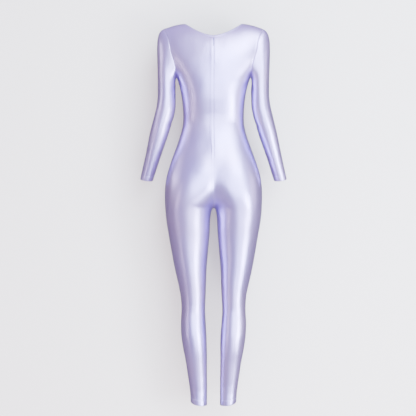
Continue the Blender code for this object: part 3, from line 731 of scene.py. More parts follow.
def ease_edges(points, face):
    """Moves the right panel's edges away from its neighbours by half a gap."""
    from_inner = steps_along(points, 1)
    from_outer = from_inner[:, -1:] - from_inner
    row = np.arange(len(points))[:, None]
    eased = points.copy()
    centre = (row >= YOKE_ROWS) & (row <= CROTCH_ROW)
    gap = centre_gap(points[:, :1, 2], face)
    eased[..., 0] += centre * gap * np.exp(-from_inner / GAP_REACH)
    eased[..., 1] += (row > CROTCH_ROW) * face * SEAM_GAP * np.exp(-from_inner / GAP_REACH)
    eased[..., 1] += (row > YOKE_ROWS + SCYE_ROWS) * face * SEAM_GAP * np.exp(-from_outer / GAP_REACH)
    return eased


def panel_seams(points, side, face):
    """Heights of the seams, allowances, tapes and hem of a panel."""
    from_inner = steps_along(points, 1)
    from_outer = from_inner[:, -1:] - from_inner
    from_top = steps_along(points, 0)
    from_hem = from_top[-1:] - from_top
    row = np.arange(len(points))[:, None]
    below_neck = row >= YOKE_ROWS
    heights = below_neck * sink(from_inner) + sink(from_outer) + sink(from_top)
    heights = heights + hem_relief(from_hem)
    if face == BACK:
        heights = heights + lifted(from_outer, ALLOWANCE_WIDTH, ALLOWANCE_RISE)
        heights = heights + lifted(from_top, ALLOWANCE_WIDTH, ALLOWANCE_RISE)
        at_zip = below_neck * fade(ZIP_FOOT - 6, ZIP_FOOT + 2, points[..., 2])
        rise = TAPE_RISE if side == LEFT else 0.4 * TAPE_RISE
        heights = heights + at_zip * lifted(from_inner, TAPE_WIDTH, rise)
        if side == LEFT:
            plain = below_neck * (1 - at_zip)
            heights = heights + plain * lifted(from_inner, ALLOWANCE_WIDTH, ALLOWANCE_RISE)
    return heights


def seat_lean(points):
    """The drawn-in valley of the seat lies right of the seam, and rises slowly to the left."""
    x, z = points[..., 0], points[..., 2]
    upright = np.exp(-(((z - SEAT_DIP_HEIGHT) / SEAT_DIP_REACH) ** 4))
    half_width = np.where(x > SEAT_LEAN, SEAT_LEAN_RIGHT, SEAT_LEAN_LEFT)
    leaning = SEAT_LEAN_DEPTH * upright * np.exp(-(((x - SEAT_LEAN) / half_width) ** 2))
    return seat_dip(x, z) - leaning


def spanned(points, normals):
    """Stretched cloth spans the hollows of the back a little, where it faces backwards."""
    behind = np.clip(-normals[..., 1], 0, 1) ** 1.3
    total = np.zeros(behind.shape)
    for height, reach, rise in HOLLOWS:
        total += rise * np.exp(-(((points[..., 2] - height) / reach) ** 2))
    return total * behind


def make_panel(name, side, face):
    """One finished panel, with its outer grid as worn for what is sewn to it."""
    base = ease_edges(panel_grid(face, BINDING_WIDTH - TUCKED_UNDER), face) * (side, 1, 1)
    sign = -face * side
    normals = grid_normals(base) * sign
    seams = panel_seams(base, side, face)
    creases = body_creases(base, normals, side, face)
    heights = seams + creases + unevenness(base)
    if face == BACK:
        heights = heights + seat_lean(base) + spanned(base, normals)
    outer = base + normals * heights[..., None]
    wall = CLOTH + lifted(steps_along(base, 0)[-1:] - steps_along(base, 0), HEM_DEPTH, CLOTH)
    inner = outer - normals * wall[..., None]
    # The seam and crease marks are masks for painted shade: the material turns the cloth violet there.
    marks = [("seam", np.clip(-seams, 0, 1)), ("crease", np.clip(-creases / 2, 0, 1))]
    obj = shell_object(name, outer, inner, sign, marks=marks)
    return {"object": obj, "outer": outer, "normals": normals, "area": cloth_area(outer)}


panels = {}
for side, side_name in ((RIGHT, "right"), (LEFT, "left")):
    for face, face_name in ((BACK, "back"), (FRONT, "front")):
        made = make_panel(f"{face_name}_{side_name}_cloth", side, face)
        panels[side, face] = made
        print(made["object"].name, len(made["object"].data.polygons), round(made["area"], 4))

# %% [markdown]
# ## The sleeves
# Each sleeve is one piece with a seam under the arm. Its cap is set into the armhole, so its edge
# rolls in there as the panels' edges do. The photograph shows a soft bend at the elbow and a deep
# crease where the sleeve lies against the body.

# %% Sleeves
SLEEVE_CREASES = (
    # side, half-width, depth, and the points as turn in degrees and height
    (RIGHT, 8.4, 1.30, ((150, -196), (180, -214), (215, -232), (250, -246))),
    (RIGHT, 7.2, 0.85, ((165, -214), (200, -240), (235, -268))),
    (RIGHT, 10.8, 1.17, ((120, -348), (160, -356), (200, -366), (240, -380))),
    (RIGHT, 8.4, 0.78, ((140, -374), (175, -384), (215, -398))),
    (RIGHT, 12.0, 0.52, ((300, -262), (330, -330), (345, -398))),
    (RIGHT, 7.2, 0.39, ((170, -470), (210, -478), (250, -488))),
    (LEFT, 8.4, 1.17, ((150, -200), (185, -216), (220, -238), (255, -256))),
    (LEFT, 7.2, 0.72, ((160, -222), (198, -250), (230, -272))),
    (LEFT, 10.8, 1.04, ((120, -340), (165, -352), (205, -360), (245, -372))),
    (LEFT, 8.4, 0.72, ((130, -368), (170, -376), (220, -392))),
    (LEFT, 12.0, 0.52, ((290, -300), (320, -352), (340, -420))),
    (LEFT, 7.2, 0.39, ((165, -448), (205, -458), (240, -466))),
)
UNDERARM_TURN = math.pi


def sleeve_line(points, seen):
    """Points of a crease on a sleeve grid, given by turn and height."""
    seen = along_path(seen)
    at = np.round(seen[:, 0] / 360 * RING).astype(int) % RING
    rows = [np.abs(points[:, k, 2] - z).argmin() for k, z in zip(at, seen[:, 1])]
    return points[rows, at]


def make_sleeve(name, side):
    base = grids["sleeve"] * (side, 1, 1)
    normals = grid_normals(base, True) * side
    from_top = steps_along(base, 0)
    around = steps_along(np.concatenate((base, base[:, :1]), axis=1), 1)[:, :-1]
    from_seam = np.abs(around - around[:, RING // 2][:, None])
    seams = sink(from_top) + hem_relief(from_top[-1:] - from_top)
    seams = seams + sink(from_seam) * 0.6 + lifted(from_seam, ALLOWANCE_WIDTH, ALLOWANCE_RISE) * 0.7
    flat = base.reshape(-1, 3)
    creases = np.zeros(len(flat))
    for its_side, width, depth, seen in SLEEVE_CREASES:
        if its_side == side:
            creases += trough(flat, None, sleeve_line(base, seen), width, depth)
    creases = creases.reshape(base.shape[:2])
    outer = base + normals * (seams + creases + unevenness(base))[..., None]
    wall = CLOTH + lifted(from_top[-1:] - from_top, HEM_DEPTH, CLOTH)
    inner = outer - normals * wall[..., None]
    # The seam and crease marks are masks for painted shade: the material turns the cloth violet there.
    marks = [("seam", np.clip(-seams, 0, 1)), ("crease", np.clip(-creases / 2, 0, 1))]
    obj = shell_object(name, outer, inner, side, True, marks)
    return {"object": obj, "outer": outer, "normals": normals, "area": cloth_area(outer, True)}


sleeves = {}
for side, side_name in ((RIGHT, "right"), (LEFT, "left")):
    sleeves[side] = make_sleeve(f"sleeve_{side_name}_cloth", side)
    print(sleeves[side]["object"].name, round(sleeves[side]["area"], 4), "square metres")

# %% [markdown]
# ## The neck binding
# The neck edge is finished with a folded strip of the same cloth, stretched a little as it is sewn
# on, so it hugs the neck and puckers faintly. A strip like this is one profile swept along the
# neckline: over the fold, down the outside to its stitched edge, and back up the inside.

# %% Binding
BINDING_STATIONS = 120
BINDING_PROFILE = np.array(
    (
        # down from the neck edge, out from the cloth
        (7.0, -0.1),
        (6.9, 0.22),
        (6.3, 0.38),
        (5.4, 0.34),
        (4.2, 0.56),
        (2.8, 0.66),
        (1.6, 0.56),
        (0.7, 0.22),
        (0.1, -0.3),
        (0.05, -0.9),
        (0.6, -1.45),
        (1.8, -1.7),
        (4.0, -1.65),
        (6.4, -1.55),
        (6.9, -1.2),
    )
)
PUCKER = 0.1
PUCKER_LENGTH = 8.0
BINDING_END_GAP = 0.45


def neck_grid(downs):
    """Points and normals along the whole neckline, from the right of the zip round to its left."""
    share = np.linspace(0, 1, BINDING_STATIONS + 1)
    columns = []
    for down in downs:
        back = body_points(*neck_place(share, BACK, down))[::-1]
        front = body_points(*neck_place(share, FRONT, down))[1:]
        half = np.concatenate((back, front))
        columns.append(np.concatenate((half, half[-2::-1] * (-1, 1, 1))))
    points = np.stack(columns, axis=1)
    normals = unit(np.cross(np.gradient(points, axis=1), np.gradient(points, axis=0)))
    return points, normals


def make_binding():
    points, normals = neck_grid(BINDING_PROFILE[:, 0])
    spread, spread_normals = neck_grid(np.linspace(0, 8, 9))
    at = np.clip(BINDING_PROFILE[:, 0], 0, 8)
    low = np.minimum(at.astype(int), 7)
    share = (at - low)[None, :, None]
    normals = unit(spread_normals[:, low] * (1 - share) + spread_normals[:, low + 1] * share)
    along = steps_along(points, 0)
    pucker = PUCKER * np.sin(along / PUCKER_LENGTH * 2 * math.pi) * np.sin(along / 37.0)
    out = BINDING_PROFILE[:, 1] + pucker * (BINDING_PROFILE[:, 1] > 0)
    rings = points + normals * out[..., None]
    ends = np.exp(-steps_along(rings, 0) / GAP_REACH)
    rings[..., 0] += BINDING_END_GAP * (ends - ends[::-1])
    return rings, normals


def swept_object(name, rings):
    """A closed tube through rings of points, capped at both ends."""
    stations, around = rings.shape[:2]
    number = np.arange(stations * around).reshape(stations, around)
    number = np.concatenate((number, number[:, :1]), axis=1)
    sides = np.stack((number[:-1, :-1], number[1:, :-1], number[1:, 1:], number[:-1, 1:]), -1)
    faces = sides.reshape(-1, 4).tolist() + [number[0, :-1].tolist(), number[-1, -2::-1].tolist()]
    mesh = bpy.data.meshes.new(name)
    mesh.from_pydata((rings.reshape(-1, 3) * MM).tolist(), [], faces)
    round_it = np.concatenate((rings, rings[:, :1]), axis=1)
    across, down = steps_along(round_it, 1), steps_along(round_it, 0)
    uv = np.stack((across, down), -1).reshape(-1, 2) * MM
    wide = np.arange(stations * (around + 1)).reshape(stations, around + 1)
    corners = np.stack((wide[:-1, :-1], wide[1:, :-1], wide[1:, 1:], wide[:-1, 1:]), -1).reshape(-1)
    values = np.zeros((len(mesh.loops), 2), np.float32)
    values[: len(corners)] = uv[corners]
    mesh.uv_layers.new(name="cloth").data.foreach_set("uv", values.ravel())
    mesh.shade_smooth()
    obj = bpy.data.objects.new(name, mesh)
    suit_collection.objects.link(obj)
    return obj


binding_rings, binding_normals = make_binding()
binding = swept_object("neck_binding_cloth", binding_rings)

# %% [markdown]
# ## The zip's tapes
# A concealed zip has two narrow woven tapes, sewn flat behind the seam. Only their step shows from
# outside, but they can be seen down the neck, so each is a thin strip of its own behind the cloth.

# %% Zip tapes
TAPE_BEHIND = 0.3
TAPE_WALL = 0.5
TAPE_EDGE = 0.5
TAPE_COLUMNS = 9
TAPE_TOP_ROW = YOKE_ROWS - 3


def back_seam_rows(side):
    """Rows of a back panel beside the zip, with their points and normals."""
    panel = panels[side, BACK]
    heights = panel["outer"][:, 0, 2]
    rows = [r for r in range(TAPE_TOP_ROW, len(heights)) if heights[r] > ZIP_FOOT]
    return panel["outer"][rows], panel["normals"][rows]


def make_tape(name, side):
    outer, normals = back_seam_rows(side)
    across = np.linspace(TAPE_EDGE, TAPE_WIDTH + 0.4, TAPE_COLUMNS)
    smooth = outer + normals * SEAM_SINK * np.exp(-((steps_along(outer, 1) / SEAM_SINK_WIDTH) ** 2))[..., None]
    from_seam = steps_along(smooth, 1)
    points, marks = np.zeros((2, len(outer), TAPE_COLUMNS, 3))
    for r in range(len(outer)):
        for axis in range(3):
            points[r, :, axis] = np.interp(across, from_seam[r], smooth[r, :, axis])
            marks[r, :, axis] = np.interp(across, from_seam[r], normals[r, :, axis])
    points[..., 0] = side * across
    face = points - marks * (CLOTH + TAPE_BEHIND)
    behind = face - marks * TAPE_WALL
    return shell_object(name, face, behind, side, marks=[("seam", 0 * across.repeat(len(outer)))])


tapes = {side: make_tape(f"zip_tape_{name}_woven", side) for side, name in ((RIGHT, "right"), (LEFT, "left"))}
print("tape rows", len(tapes[RIGHT].data.vertices))

# %% [markdown]
# ## What repeats: stitches and the zip's coil
# Hundreds of equal stitches are no work for a hand. One Geometry Nodes tree takes a line of points,
# spreads copies of one small form along it and turns each one to follow the line and the cloth. Its
# sizes are named inputs, so the same tree makes the hems' stitches, the binding's and the zip coil.

# %% A tree that sews along a line
def input_socket(tree, name, kind, default=None):
    socket = tree.interface.new_socket(name, in_out="INPUT", socket_type=kind)
    if default is not None:
        socket.default_value = default
    return socket


def stitch_tree():
    """Geometry nodes that lay equal rounded forms along a line of points."""
    tree = bpy.data.node_groups.new("sew_along", "GeometryNodeTree")
    tree.is_modifier = True
    input_socket(tree, "Geometry", "NodeSocketGeometry")
    input_socket(tree, "Pitch", "NodeSocketFloat", 0.0028)
    input_socket(tree, "Length", "NodeSocketFloat", 0.0022)
    input_socket(tree, "Width", "NodeSocketFloat", 0.0005)
    input_socket(tree, "Height", "NodeSocketFloat", 0.0005)
    input_socket(tree, "Lean", "NodeSocketFloat", 0.0)
    input_socket(tree, "Unevenness", "NodeSocketFloat", 0.06)
    input_socket(tree, "Seed", "NodeSocketInt", 1)
    input_socket(tree, "Thread", "NodeSocketMaterial")
    tree.interface.new_socket("Geometry", in_out="OUTPUT", socket_type="NodeSocketGeometry")
    nodes, link = tree.nodes, tree.links.new
    start, end = nodes.new("NodeGroupInput"), nodes.new("NodeGroupOutput")
    line = nodes.new("GeometryNodeMeshToCurve")
    spread = nodes.new("GeometryNodeResampleCurve")
    spread.mode = "LENGTH"
    tangent = nodes.new("GeometryNodeInputTangent")
    out = nodes.new("GeometryNodeInputNamedAttribute")
    out.data_type = "FLOAT_VECTOR"
    out.inputs["Name"].default_value = "out"
    face_out = nodes.new("FunctionNodeAlignEulerToVector")
    face_out.axis = "Z"
    follow = nodes.new("FunctionNodeAlignEulerToVector")
    follow.axis, follow.pivot_axis = "X", "Z"
    lean = nodes.new("FunctionNodeRotateEuler")
    lean.space = "LOCAL"
    turn = nodes.new("ShaderNodeCombineXYZ")
    ball = nodes.new("GeometryNodeMeshUVSphere")
    ball.inputs["Segments"].default_value = 6
    ball.inputs["Rings"].default_value = 4
    ball.inputs["Radius"].default_value = 0.5
    size = nodes.new("ShaderNodeCombineXYZ")
    shape = nodes.new("GeometryNodeTransform")
    vary = nodes.new("FunctionNodeRandomValue")
    vary.data_type = "FLOAT"
    low = nodes.new("ShaderNodeMath")
    low.operation = "SUBTRACT"
    low.inputs[0].default_value = 1.0
    high = nodes.new("ShaderNodeMath")
    high.inputs[0].default_value = 1.0
    copies = nodes.new("GeometryNodeInstanceOnPoints")
    real = nodes.new("GeometryNodeRealizeInstances")
    smooth = nodes.new("GeometryNodeSetShadeSmooth")
    dress = nodes.new("GeometryNodeSetMaterial")
    link(start.outputs["Geometry"], line.inputs["Mesh"])
    link(line.outputs["Curve"], spread.inputs["Curve"])
    link(start.outputs["Pitch"], spread.inputs["Length"])
    link(out.outputs["Attribute"], face_out.inputs["Vector"])
    link(face_out.outputs["Rotation"], follow.inputs["Rotation"])
    link(tangent.outputs["Tangent"], follow.inputs["Vector"])
    link(follow.outputs["Rotation"], lean.inputs["Rotation"])
    link(start.outputs["Lean"], turn.inputs["Z"])
    link(turn.outputs["Vector"], lean.inputs["Rotate By"])
    for name, axis in (("Length", "X"), ("Width", "Y"), ("Height", "Z")):
        link(start.outputs[name], size.inputs[axis])
    link(ball.outputs["Mesh"], shape.inputs["Geometry"])
    link(size.outputs["Vector"], shape.inputs["Scale"])
    link(start.outputs["Unevenness"], low.inputs[1])
    link(start.outputs["Unevenness"], high.inputs[1])
    link(low.outputs["Value"], vary.inputs[2])
    link(high.outputs["Value"], vary.inputs[3])
    link(start.outputs["Seed"], vary.inputs["Seed"])
    link(spread.outputs["Curve"], copies.inputs["Points"])
    link(shape.outputs["Geometry"], copies.inputs["Instance"])
    link(lean.outputs["Rotation"], copies.inputs["Rotation"])
    link(vary.outputs[1], copies.inputs["Scale"])
    link(copies.outputs["Instances"], real.inputs["Geometry"])
    link(real.outputs["Geometry"], smooth.inputs["Geometry"])
    link(smooth.outputs["Geometry"], dress.inputs["Geometry"])
    link(start.outputs["Thread"], dress.inputs["Material"])
    link(dress.outputs["Geometry"], end.inputs["Geometry"])
    return tree


SEW = stitch_tree()
print("tree", SEW.name, "with", len(SEW.nodes), "nodes")

# %% [markdown]
# ## Lines to sew along
# The tree needs only a line and the way out of the cloth at each of its points. A finished shell
# already has both, so a line of stitches is read off its outer grid: one at a fixed distance from
# the hem, others across the binding's stitched edge, and the coil down both tapes.

# %% Sewing lines
HEM_STITCH_ROWS = (HEM_DEPTH, HEM_DEPTH - 4.5)
BINDING_STITCHES = (5.4, 6.2)


def row_at(outer, above_hem):
    """Points round a tube or across a panel at a distance above its last row."""
    from_top = steps_along(outer, 0)
    from_hem = from_top[-1:] - from_top
    return [int(np.abs(from_hem[:, c] - above_hem).argmin()) for c in range(outer.shape[1])]


def around_grid(made, above_hem):
    """A line of points and outward normals across a grid at a distance above its hem."""
    rows = row_at(made["outer"], above_hem)
    columns = np.arange(len(rows))
    return made["outer"][rows, columns], made["normals"][rows, columns]


def leg_line(side, above_hem):
    """The closed line round an ankle: across the back and home across the front."""
    back, back_out = around_grid(panels[side, BACK], above_hem)
    front, front_out = around_grid(panels[side, FRONT], above_hem)
    points = np.concatenate((back, front[::-1], back[:1]))
    return points, np.concatenate((back_out, front_out[::-1], back_out[:1]))


def cuff_line(side, above_hem):
    points, out = around_grid(sleeves[side], above_hem)
    return np.concatenate((points, points[:1])), np.concatenate((out, out[:1]))


def neck_line(down):
    """Along the binding, between two points of its profile."""
    order = BINDING_PROFILE[:9][::-1]
    share = np.interp(down, order[:, 0], np.arange(9)[::-1])
    low = int(share)
    part = share - low
    points = binding_rings[:, low] * (1 - part) + binding_rings[:, low + 1] * part
    out = binding_normals[:, low] * (1 - part) + binding_normals[:, low + 1] * part
    return points, unit(out)


def coil_line(side):
    outer, normals = back_seam_rows(side)
    points = outer[:, 0] * (0, 1, 1) + (side * 1.0, 0, 0)
    behind = CLOTH + TAPE_BEHIND + TAPE_WALL + 0.7 + SEAM_SINK
    return points - normals[:, 6] * behind, -normals[:, 6]


def sewn_object(name, lines, thread, raise_by=0.1, **sizes):
    """Equal forms along some lines, made by the tree and turned into one plain mesh."""
    points = np.concatenate([p + n * raise_by for p, n in lines]) * MM
    outs = np.concatenate([n for _, n in lines])
    edges, start = [], 0
    for line, _ in lines:
        edges += [(k, k + 1) for k in range(start, start + len(line) - 1)]
        start += len(line)
    mesh = bpy.data.meshes.new(name + "_line")
    mesh.from_pydata(points.tolist(), edges, [])
    mesh.attributes.new("out", "FLOAT_VECTOR", "POINT").data.foreach_set("vector", outs.ravel())
    guide = bpy.data.objects.new(name + "_line", mesh)
    suit_collection.objects.link(guide)
    modifier = guide.modifiers.new("sew", "NODES")
    modifier.node_group = SEW
    named = {s.name: s.identifier for s in SEW.interface.items_tree if s.in_out == "INPUT"}
    for size, value in {**sizes, "Thread": thread}.items():
        modifier[named[size]] = value
    graph = bpy.context.evaluated_depsgraph_get()
    graph.update()
    made = bpy.data.meshes.new_from_object(guide.evaluated_get(graph))
    made.name = name
    bpy.data.objects.remove(guide)
    obj = bpy.data.objects.new(name, made)
    suit_collection.objects.link(obj)
    print(name, len(made.polygons), "faces")
    return obj


print("neck line", len(neck_line(5.4)[0]), "points")

# %% [markdown]
# ## Finishes
# The cloth is a warp-knit nylon and elastane satin. Long floats of bright yarn lie on its face, so
# it has a broad pearly gleam. Its lilac is painted deeper, as painted shade, where it turns away from
# the view or lies in a crease. The rest that varies over the surface comes from two shared node
# groups: one draws the knit's small ribs, the other a faint unevenness of colour.

# %% Helpers for node trees
def add_node(tree, kind, inputs=(), **settings):
    """A node with its settings and its unlinked inputs' values."""
    node = tree.nodes.new(kind)
    for name, value in settings.items():
        setattr(node, name, value)
    for name, value in dict(inputs).items():
        node.inputs[name].default_value = value
    return node


def maths(tree, operation, first, second=0.0):
    """A Math node. Its operands are sockets or numbers."""
    node = add_node(tree, "ShaderNodeMath", operation=operation)
    for k, value in enumerate((first, second)):
        if isinstance(value, bpy.types.NodeSocket):
            tree.links.new(value, node.inputs[k])
        else:
            node.inputs[k].default_value = value
    return node.outputs[0]


def blended(tree, factor, first, second):
    """A colour mix. The factor is a socket, and the colours are sockets or values."""
    node = add_node(tree, "ShaderNodeMix", data_type="RGBA")
    tree.links.new(factor, node.inputs[0])
    for k, value in ((6, first), (7, second)):
        if isinstance(value, bpy.types.NodeSocket):
            tree.links.new(value, node.inputs[k])
        else:
            node.inputs[k].default_value = value
    return node.outputs[2]


def srgb(red, green, blue):
    """A colour of the screen, 0 to 255, as the linear values that a shader takes."""
    channels = []
    for value in (red / 255, green / 255, blue / 255):
        channels.append(value / 12.92 if value <= 0.04045 else ((value + 0.055) / 1.055) ** 2.4)
    return (*channels, 1.0)


print("lilac", [round(v, 3) for v in srgb(190, 180, 220)])

# %% [markdown]
# ### The knit
# Seen close, the satin side shows columns of slanting loops, about 18 to the centimetre. A pattern
# on the UV map keeps them running down each panel, whatever its shape. The group puts out a height
# for a Bump node.

# %% Knit group
WALE = 0.00055
COURSE = 0.0004


def knit_group():
    """Height of the knit's loops, from a UV map in metres."""
    tree = bpy.data.node_groups.new("knit", "ShaderNodeTree")
    input_socket(tree, "Vector", "NodeSocketVector")
    input_socket(tree, "Wale", "NodeSocketFloat", WALE)
    input_socket(tree, "Course", "NodeSocketFloat", COURSE)
    tree.interface.new_socket("Height", in_out="OUTPUT", socket_type="NodeSocketFloat")
    start, end = tree.nodes.new("NodeGroupInput"), tree.nodes.new("NodeGroupOutput")
    split = add_node(tree, "ShaderNodeSeparateXYZ")
    tree.links.new(start.outputs["Vector"], split.inputs[0])
    across = maths(tree, "DIVIDE", split.outputs["X"], start.outputs["Wale"])
    down = maths(tree, "DIVIDE", split.outputs["Y"], start.outputs["Course"])
    from_middle = maths(tree, "ABSOLUTE", maths(tree, "SUBTRACT", maths(tree, "FRACT", across), 0.5))
    legs = maths(tree, "SINE", maths(tree, "MULTIPLY", from_middle, 2 * math.pi))
    slant = maths(tree, "ADD", down, from_middle)
    loops = maths(tree, "SINE", maths(tree, "MULTIPLY", slant, 2 * math.pi))
    loops = maths(tree, "MULTIPLY_ADD", loops, 0.3)
    loops.node.inputs[2].default_value = 0.7
    tree.links.new(maths(tree, "MULTIPLY", legs, loops), end.inputs["Height"])
    return tree


KNIT = knit_group()
print("knit group", len(KNIT.nodes), "nodes")

# %% [markdown]
# ### Uneven colour
# Dye takes a little differently along a bolt and wherever the knit is stretched. Two noises, one
# broad and one fine, mix two near colours. They read Object coordinates, so they run on from one
# panel to the next.

# %% Tone group
def tone_group():
    """Two colours blended by broad and fine noise."""
    tree = bpy.data.node_groups.new("uneven_tone", "ShaderNodeTree")
    input_socket(tree, "Vector", "NodeSocketVector")
    input_socket(tree, "Colour", "NodeSocketColor")
    input_socket(tree, "Other colour", "NodeSocketColor")
    input_socket(tree, "Broad scale", "NodeSocketFloat", 5.0)
    input_socket(tree, "Fine scale", "NodeSocketFloat", 160.0)
    tree.interface.new_socket("Colour", in_out="OUTPUT", socket_type="NodeSocketColor")
    tree.interface.new_socket("Mask", in_out="OUTPUT", socket_type="NodeSocketFloat")
    start, end = tree.nodes.new("NodeGroupInput"), tree.nodes.new("NodeGroupOutput")
    broad = add_node(tree, "ShaderNodeTexNoise", {"Detail": 2.0, "Roughness": 0.5})
    fine = add_node(tree, "ShaderNodeTexNoise", {"Detail": 3.0, "Roughness": 0.6})
    tree.links.new(start.outputs["Vector"], broad.inputs["Vector"])
    tree.links.new(start.outputs["Vector"], fine.inputs["Vector"])
    tree.links.new(start.outputs["Broad scale"], broad.inputs["Scale"])
    tree.links.new(start.outputs["Fine scale"], fine.inputs["Scale"])
    sharper = add_node(tree, "ShaderNodeMapRange", {"From Min": 0.35, "From Max": 0.65})
    tree.links.new(broad.outputs["Fac"], sharper.inputs["Value"])
    speck = maths(tree, "MULTIPLY", maths(tree, "SUBTRACT", fine.outputs["Fac"], 0.5), 0.35)
    mask = maths(tree, "ADD", sharper.outputs["Result"], speck)
    mask.node.use_clamp = True
    colour = blended(tree, mask, start.outputs["Colour"], start.outputs["Other colour"])
    tree.links.new(colour, end.inputs["Colour"])
    tree.links.new(mask, end.inputs["Mask"])
    return tree


TONE = tone_group()
print("tone group", len(TONE.nodes), "nodes")

# %% [markdown]
# ### The satin knit
# One material serves every piece of the suit's cloth. It reads the numbers that the shells carry:
# seams and creases are painted a deeper violet, as painted shade for the light that bounces between
# a fold's walls, and the inside is paler and duller than the face. Where the cloth turns away from
# the view its colour is also painted darker, as painted edge shade.

# %% Spandex
LILAC = (0.60, 0.47, 0.96, 1.0)
LILAC_PINK = (0.66, 0.49, 0.88, 1.0)
# The next two colours are painted shade: a grey violet where the cloth turns away from the view, and a deep
# violet in seams and creases.
PAINTED_EDGE_SHADE = (0.36, 0.27, 0.46, 1.0)
PAINTED_CREASE_SHADE = (0.27, 0.16, 0.46, 1.0)
INSIDE = srgb(186, 176, 212)
SATIN_ROUGHNESS = 0.35
SATIN_METALLIC = 0.95


def group_node(tree, group, **inputs):
    node = tree.nodes.new("ShaderNodeGroup")
    node.node_tree = group
    for name, value in inputs.items():
        node.inputs[name.replace("_", " ").capitalize()].default_value = value
    return node


def attribute(tree, name):
    return add_node(tree, "ShaderNodeAttribute", attribute_name=name).outputs["Fac"]


def spandex_material():
    made = bpy.data.materials.new("lilac_spandex_satin")
    made.use_nodes = True
    tree = made.node_tree
    shader = tree.nodes["Principled BSDF"]
    place_node = add_node(tree, "ShaderNodeTexCoord")
    uv = add_node(tree, "ShaderNodeUVMap", uv_map="cloth")
    tone = group_node(tree, TONE, Broad_scale=4.5, Fine_scale=140.0, Colour=LILAC, Other_colour=LILAC_PINK)
    tree.links.new(place_node.outputs["Object"], tone.inputs["Vector"])
    inside = attribute(tree, "inside")
    # Painted edge shade: the colour darkens to a grey violet where the surface turns away from the view.
    turned = add_node(tree, "ShaderNodeLayerWeight", {"Blend": 0.5})
    edge = maths(tree, "MULTIPLY", maths(tree, "POWER", turned.outputs["Facing"], 2.5), 0.8)
    face = blended(tree, edge, tone.outputs["Colour"], PAINTED_EDGE_SHADE)
    face = blended(tree, inside, face, INSIDE)
    # Painted crease shade: seams and creases blend the colour towards a deep violet.
    deep = maths(tree, "ADD", attribute(tree, "seam"), attribute(tree, "crease"))
    deep = maths(tree, "MULTIPLY", deep, 0.45)
    deep.node.use_clamp = True
    tree.links.new(blended(tree, deep, face, PAINTED_CREASE_SHADE), shader.inputs["Base Color"])
    rough = maths(tree, "MULTIPLY_ADD", inside, 0.3)
    rough.node.inputs[2].default_value = SATIN_ROUGHNESS
    streak = maths(tree, "MULTIPLY", maths(tree, "SUBTRACT", tone.outputs["Mask"], 0.5), 0.05)
    tree.links.new(maths(tree, "ADD", rough, streak), shader.inputs["Roughness"])
    metal = maths(tree, "MULTIPLY", maths(tree, "SUBTRACT", 1.0, inside), SATIN_METALLIC)
    tree.links.new(metal, shader.inputs["Metallic"])
    shader.inputs["Sheen Weight"].default_value = 0.04
    shader.inputs["Sheen Roughness"].default_value = 0.4
    shader.inputs["Sheen Tint"].default_value = srgb(214, 206, 240)
    shader.inputs["Coat Weight"].default_value = 0.0
    shader.inputs["Coat Roughness"].default_value = 0.25
    knit = group_node(tree, KNIT)
    tree.links.new(uv.outputs["UV"], knit.inputs["Vector"])
    bump = add_node(tree, "ShaderNodeBump", {"Strength": 0.5, "Distance": 0.00008})
    tree.links.new(knit.outputs["Height"], bump.inputs["Height"])
    tree.links.new(bump.outputs["Normal"], shader.inputs["Normal"])
    return made


SPANDEX = spandex_material()
print(SPANDEX.name, "roughness", SATIN_ROUGHNESS)

# %% [markdown]
# ### Thread, tape and the zip
# The sewing thread is a textured polyester dyed to match, a shade deeper than the satin. The tapes
# are a dense twill, matt beside the cloth. The slider and its pull are die-cast and lacquered in the
# same lilac, rubbed a little brighter along their edges by handling.

# %% Thread, tape and coil
THREAD_LILAC = srgb(176, 162, 214)
TAPE_LILAC = srgb(172, 160, 208)
TAPE_SHADE = srgb(158, 146, 198)
COIL_LILAC = srgb(180, 168, 216)
TWILL = 0.0007


def plain_shader(name, colour, roughness, metallic=0.0):
    made = bpy.data.materials.new(name)
    made.use_nodes = True
    shader = made.node_tree.nodes["Principled BSDF"]
    shader.inputs["Base Color"].default_value = colour
    shader.inputs["Roughness"].default_value = roughness
    shader.inputs["Metallic"].default_value = metallic
    return made, made.node_tree, shader


def thread_material():
    """Twisted thread: fine slanting ridges and a soft sheen."""
    made, tree, shader = plain_shader("lilac_thread", THREAD_LILAC, 0.55)
    place_node = add_node(tree, "ShaderNodeTexCoord")
    tone = group_node(tree, TONE, Broad_scale=40.0, Fine_scale=900.0)
    tone.inputs["Colour"].default_value = THREAD_LILAC
    tone.inputs["Other colour"].default_value = srgb(194, 182, 226)
    tree.links.new(place_node.outputs["Object"], tone.inputs["Vector"])
    tree.links.new(tone.outputs["Colour"], shader.inputs["Base Color"])
    turn = add_node(tree, "ShaderNodeMapping")
    turn.inputs["Rotation"].default_value = (0.0, 0.6, 0.6)
    ply = add_node(tree, "ShaderNodeTexWave", {"Scale": 1400.0, "Distortion": 0.4})
    tree.links.new(place_node.outputs["Object"], turn.inputs["Vector"])
    tree.links.new(turn.outputs["Vector"], ply.inputs["Vector"])
    bump = add_node(tree, "ShaderNodeBump", {"Strength": 0.4, "Distance": 0.00006})
    tree.links.new(ply.outputs["Fac"], bump.inputs["Height"])
    tree.links.new(bump.outputs["Normal"], shader.inputs["Normal"])
    shader.inputs["Sheen Weight"].default_value = 0.3
    return made


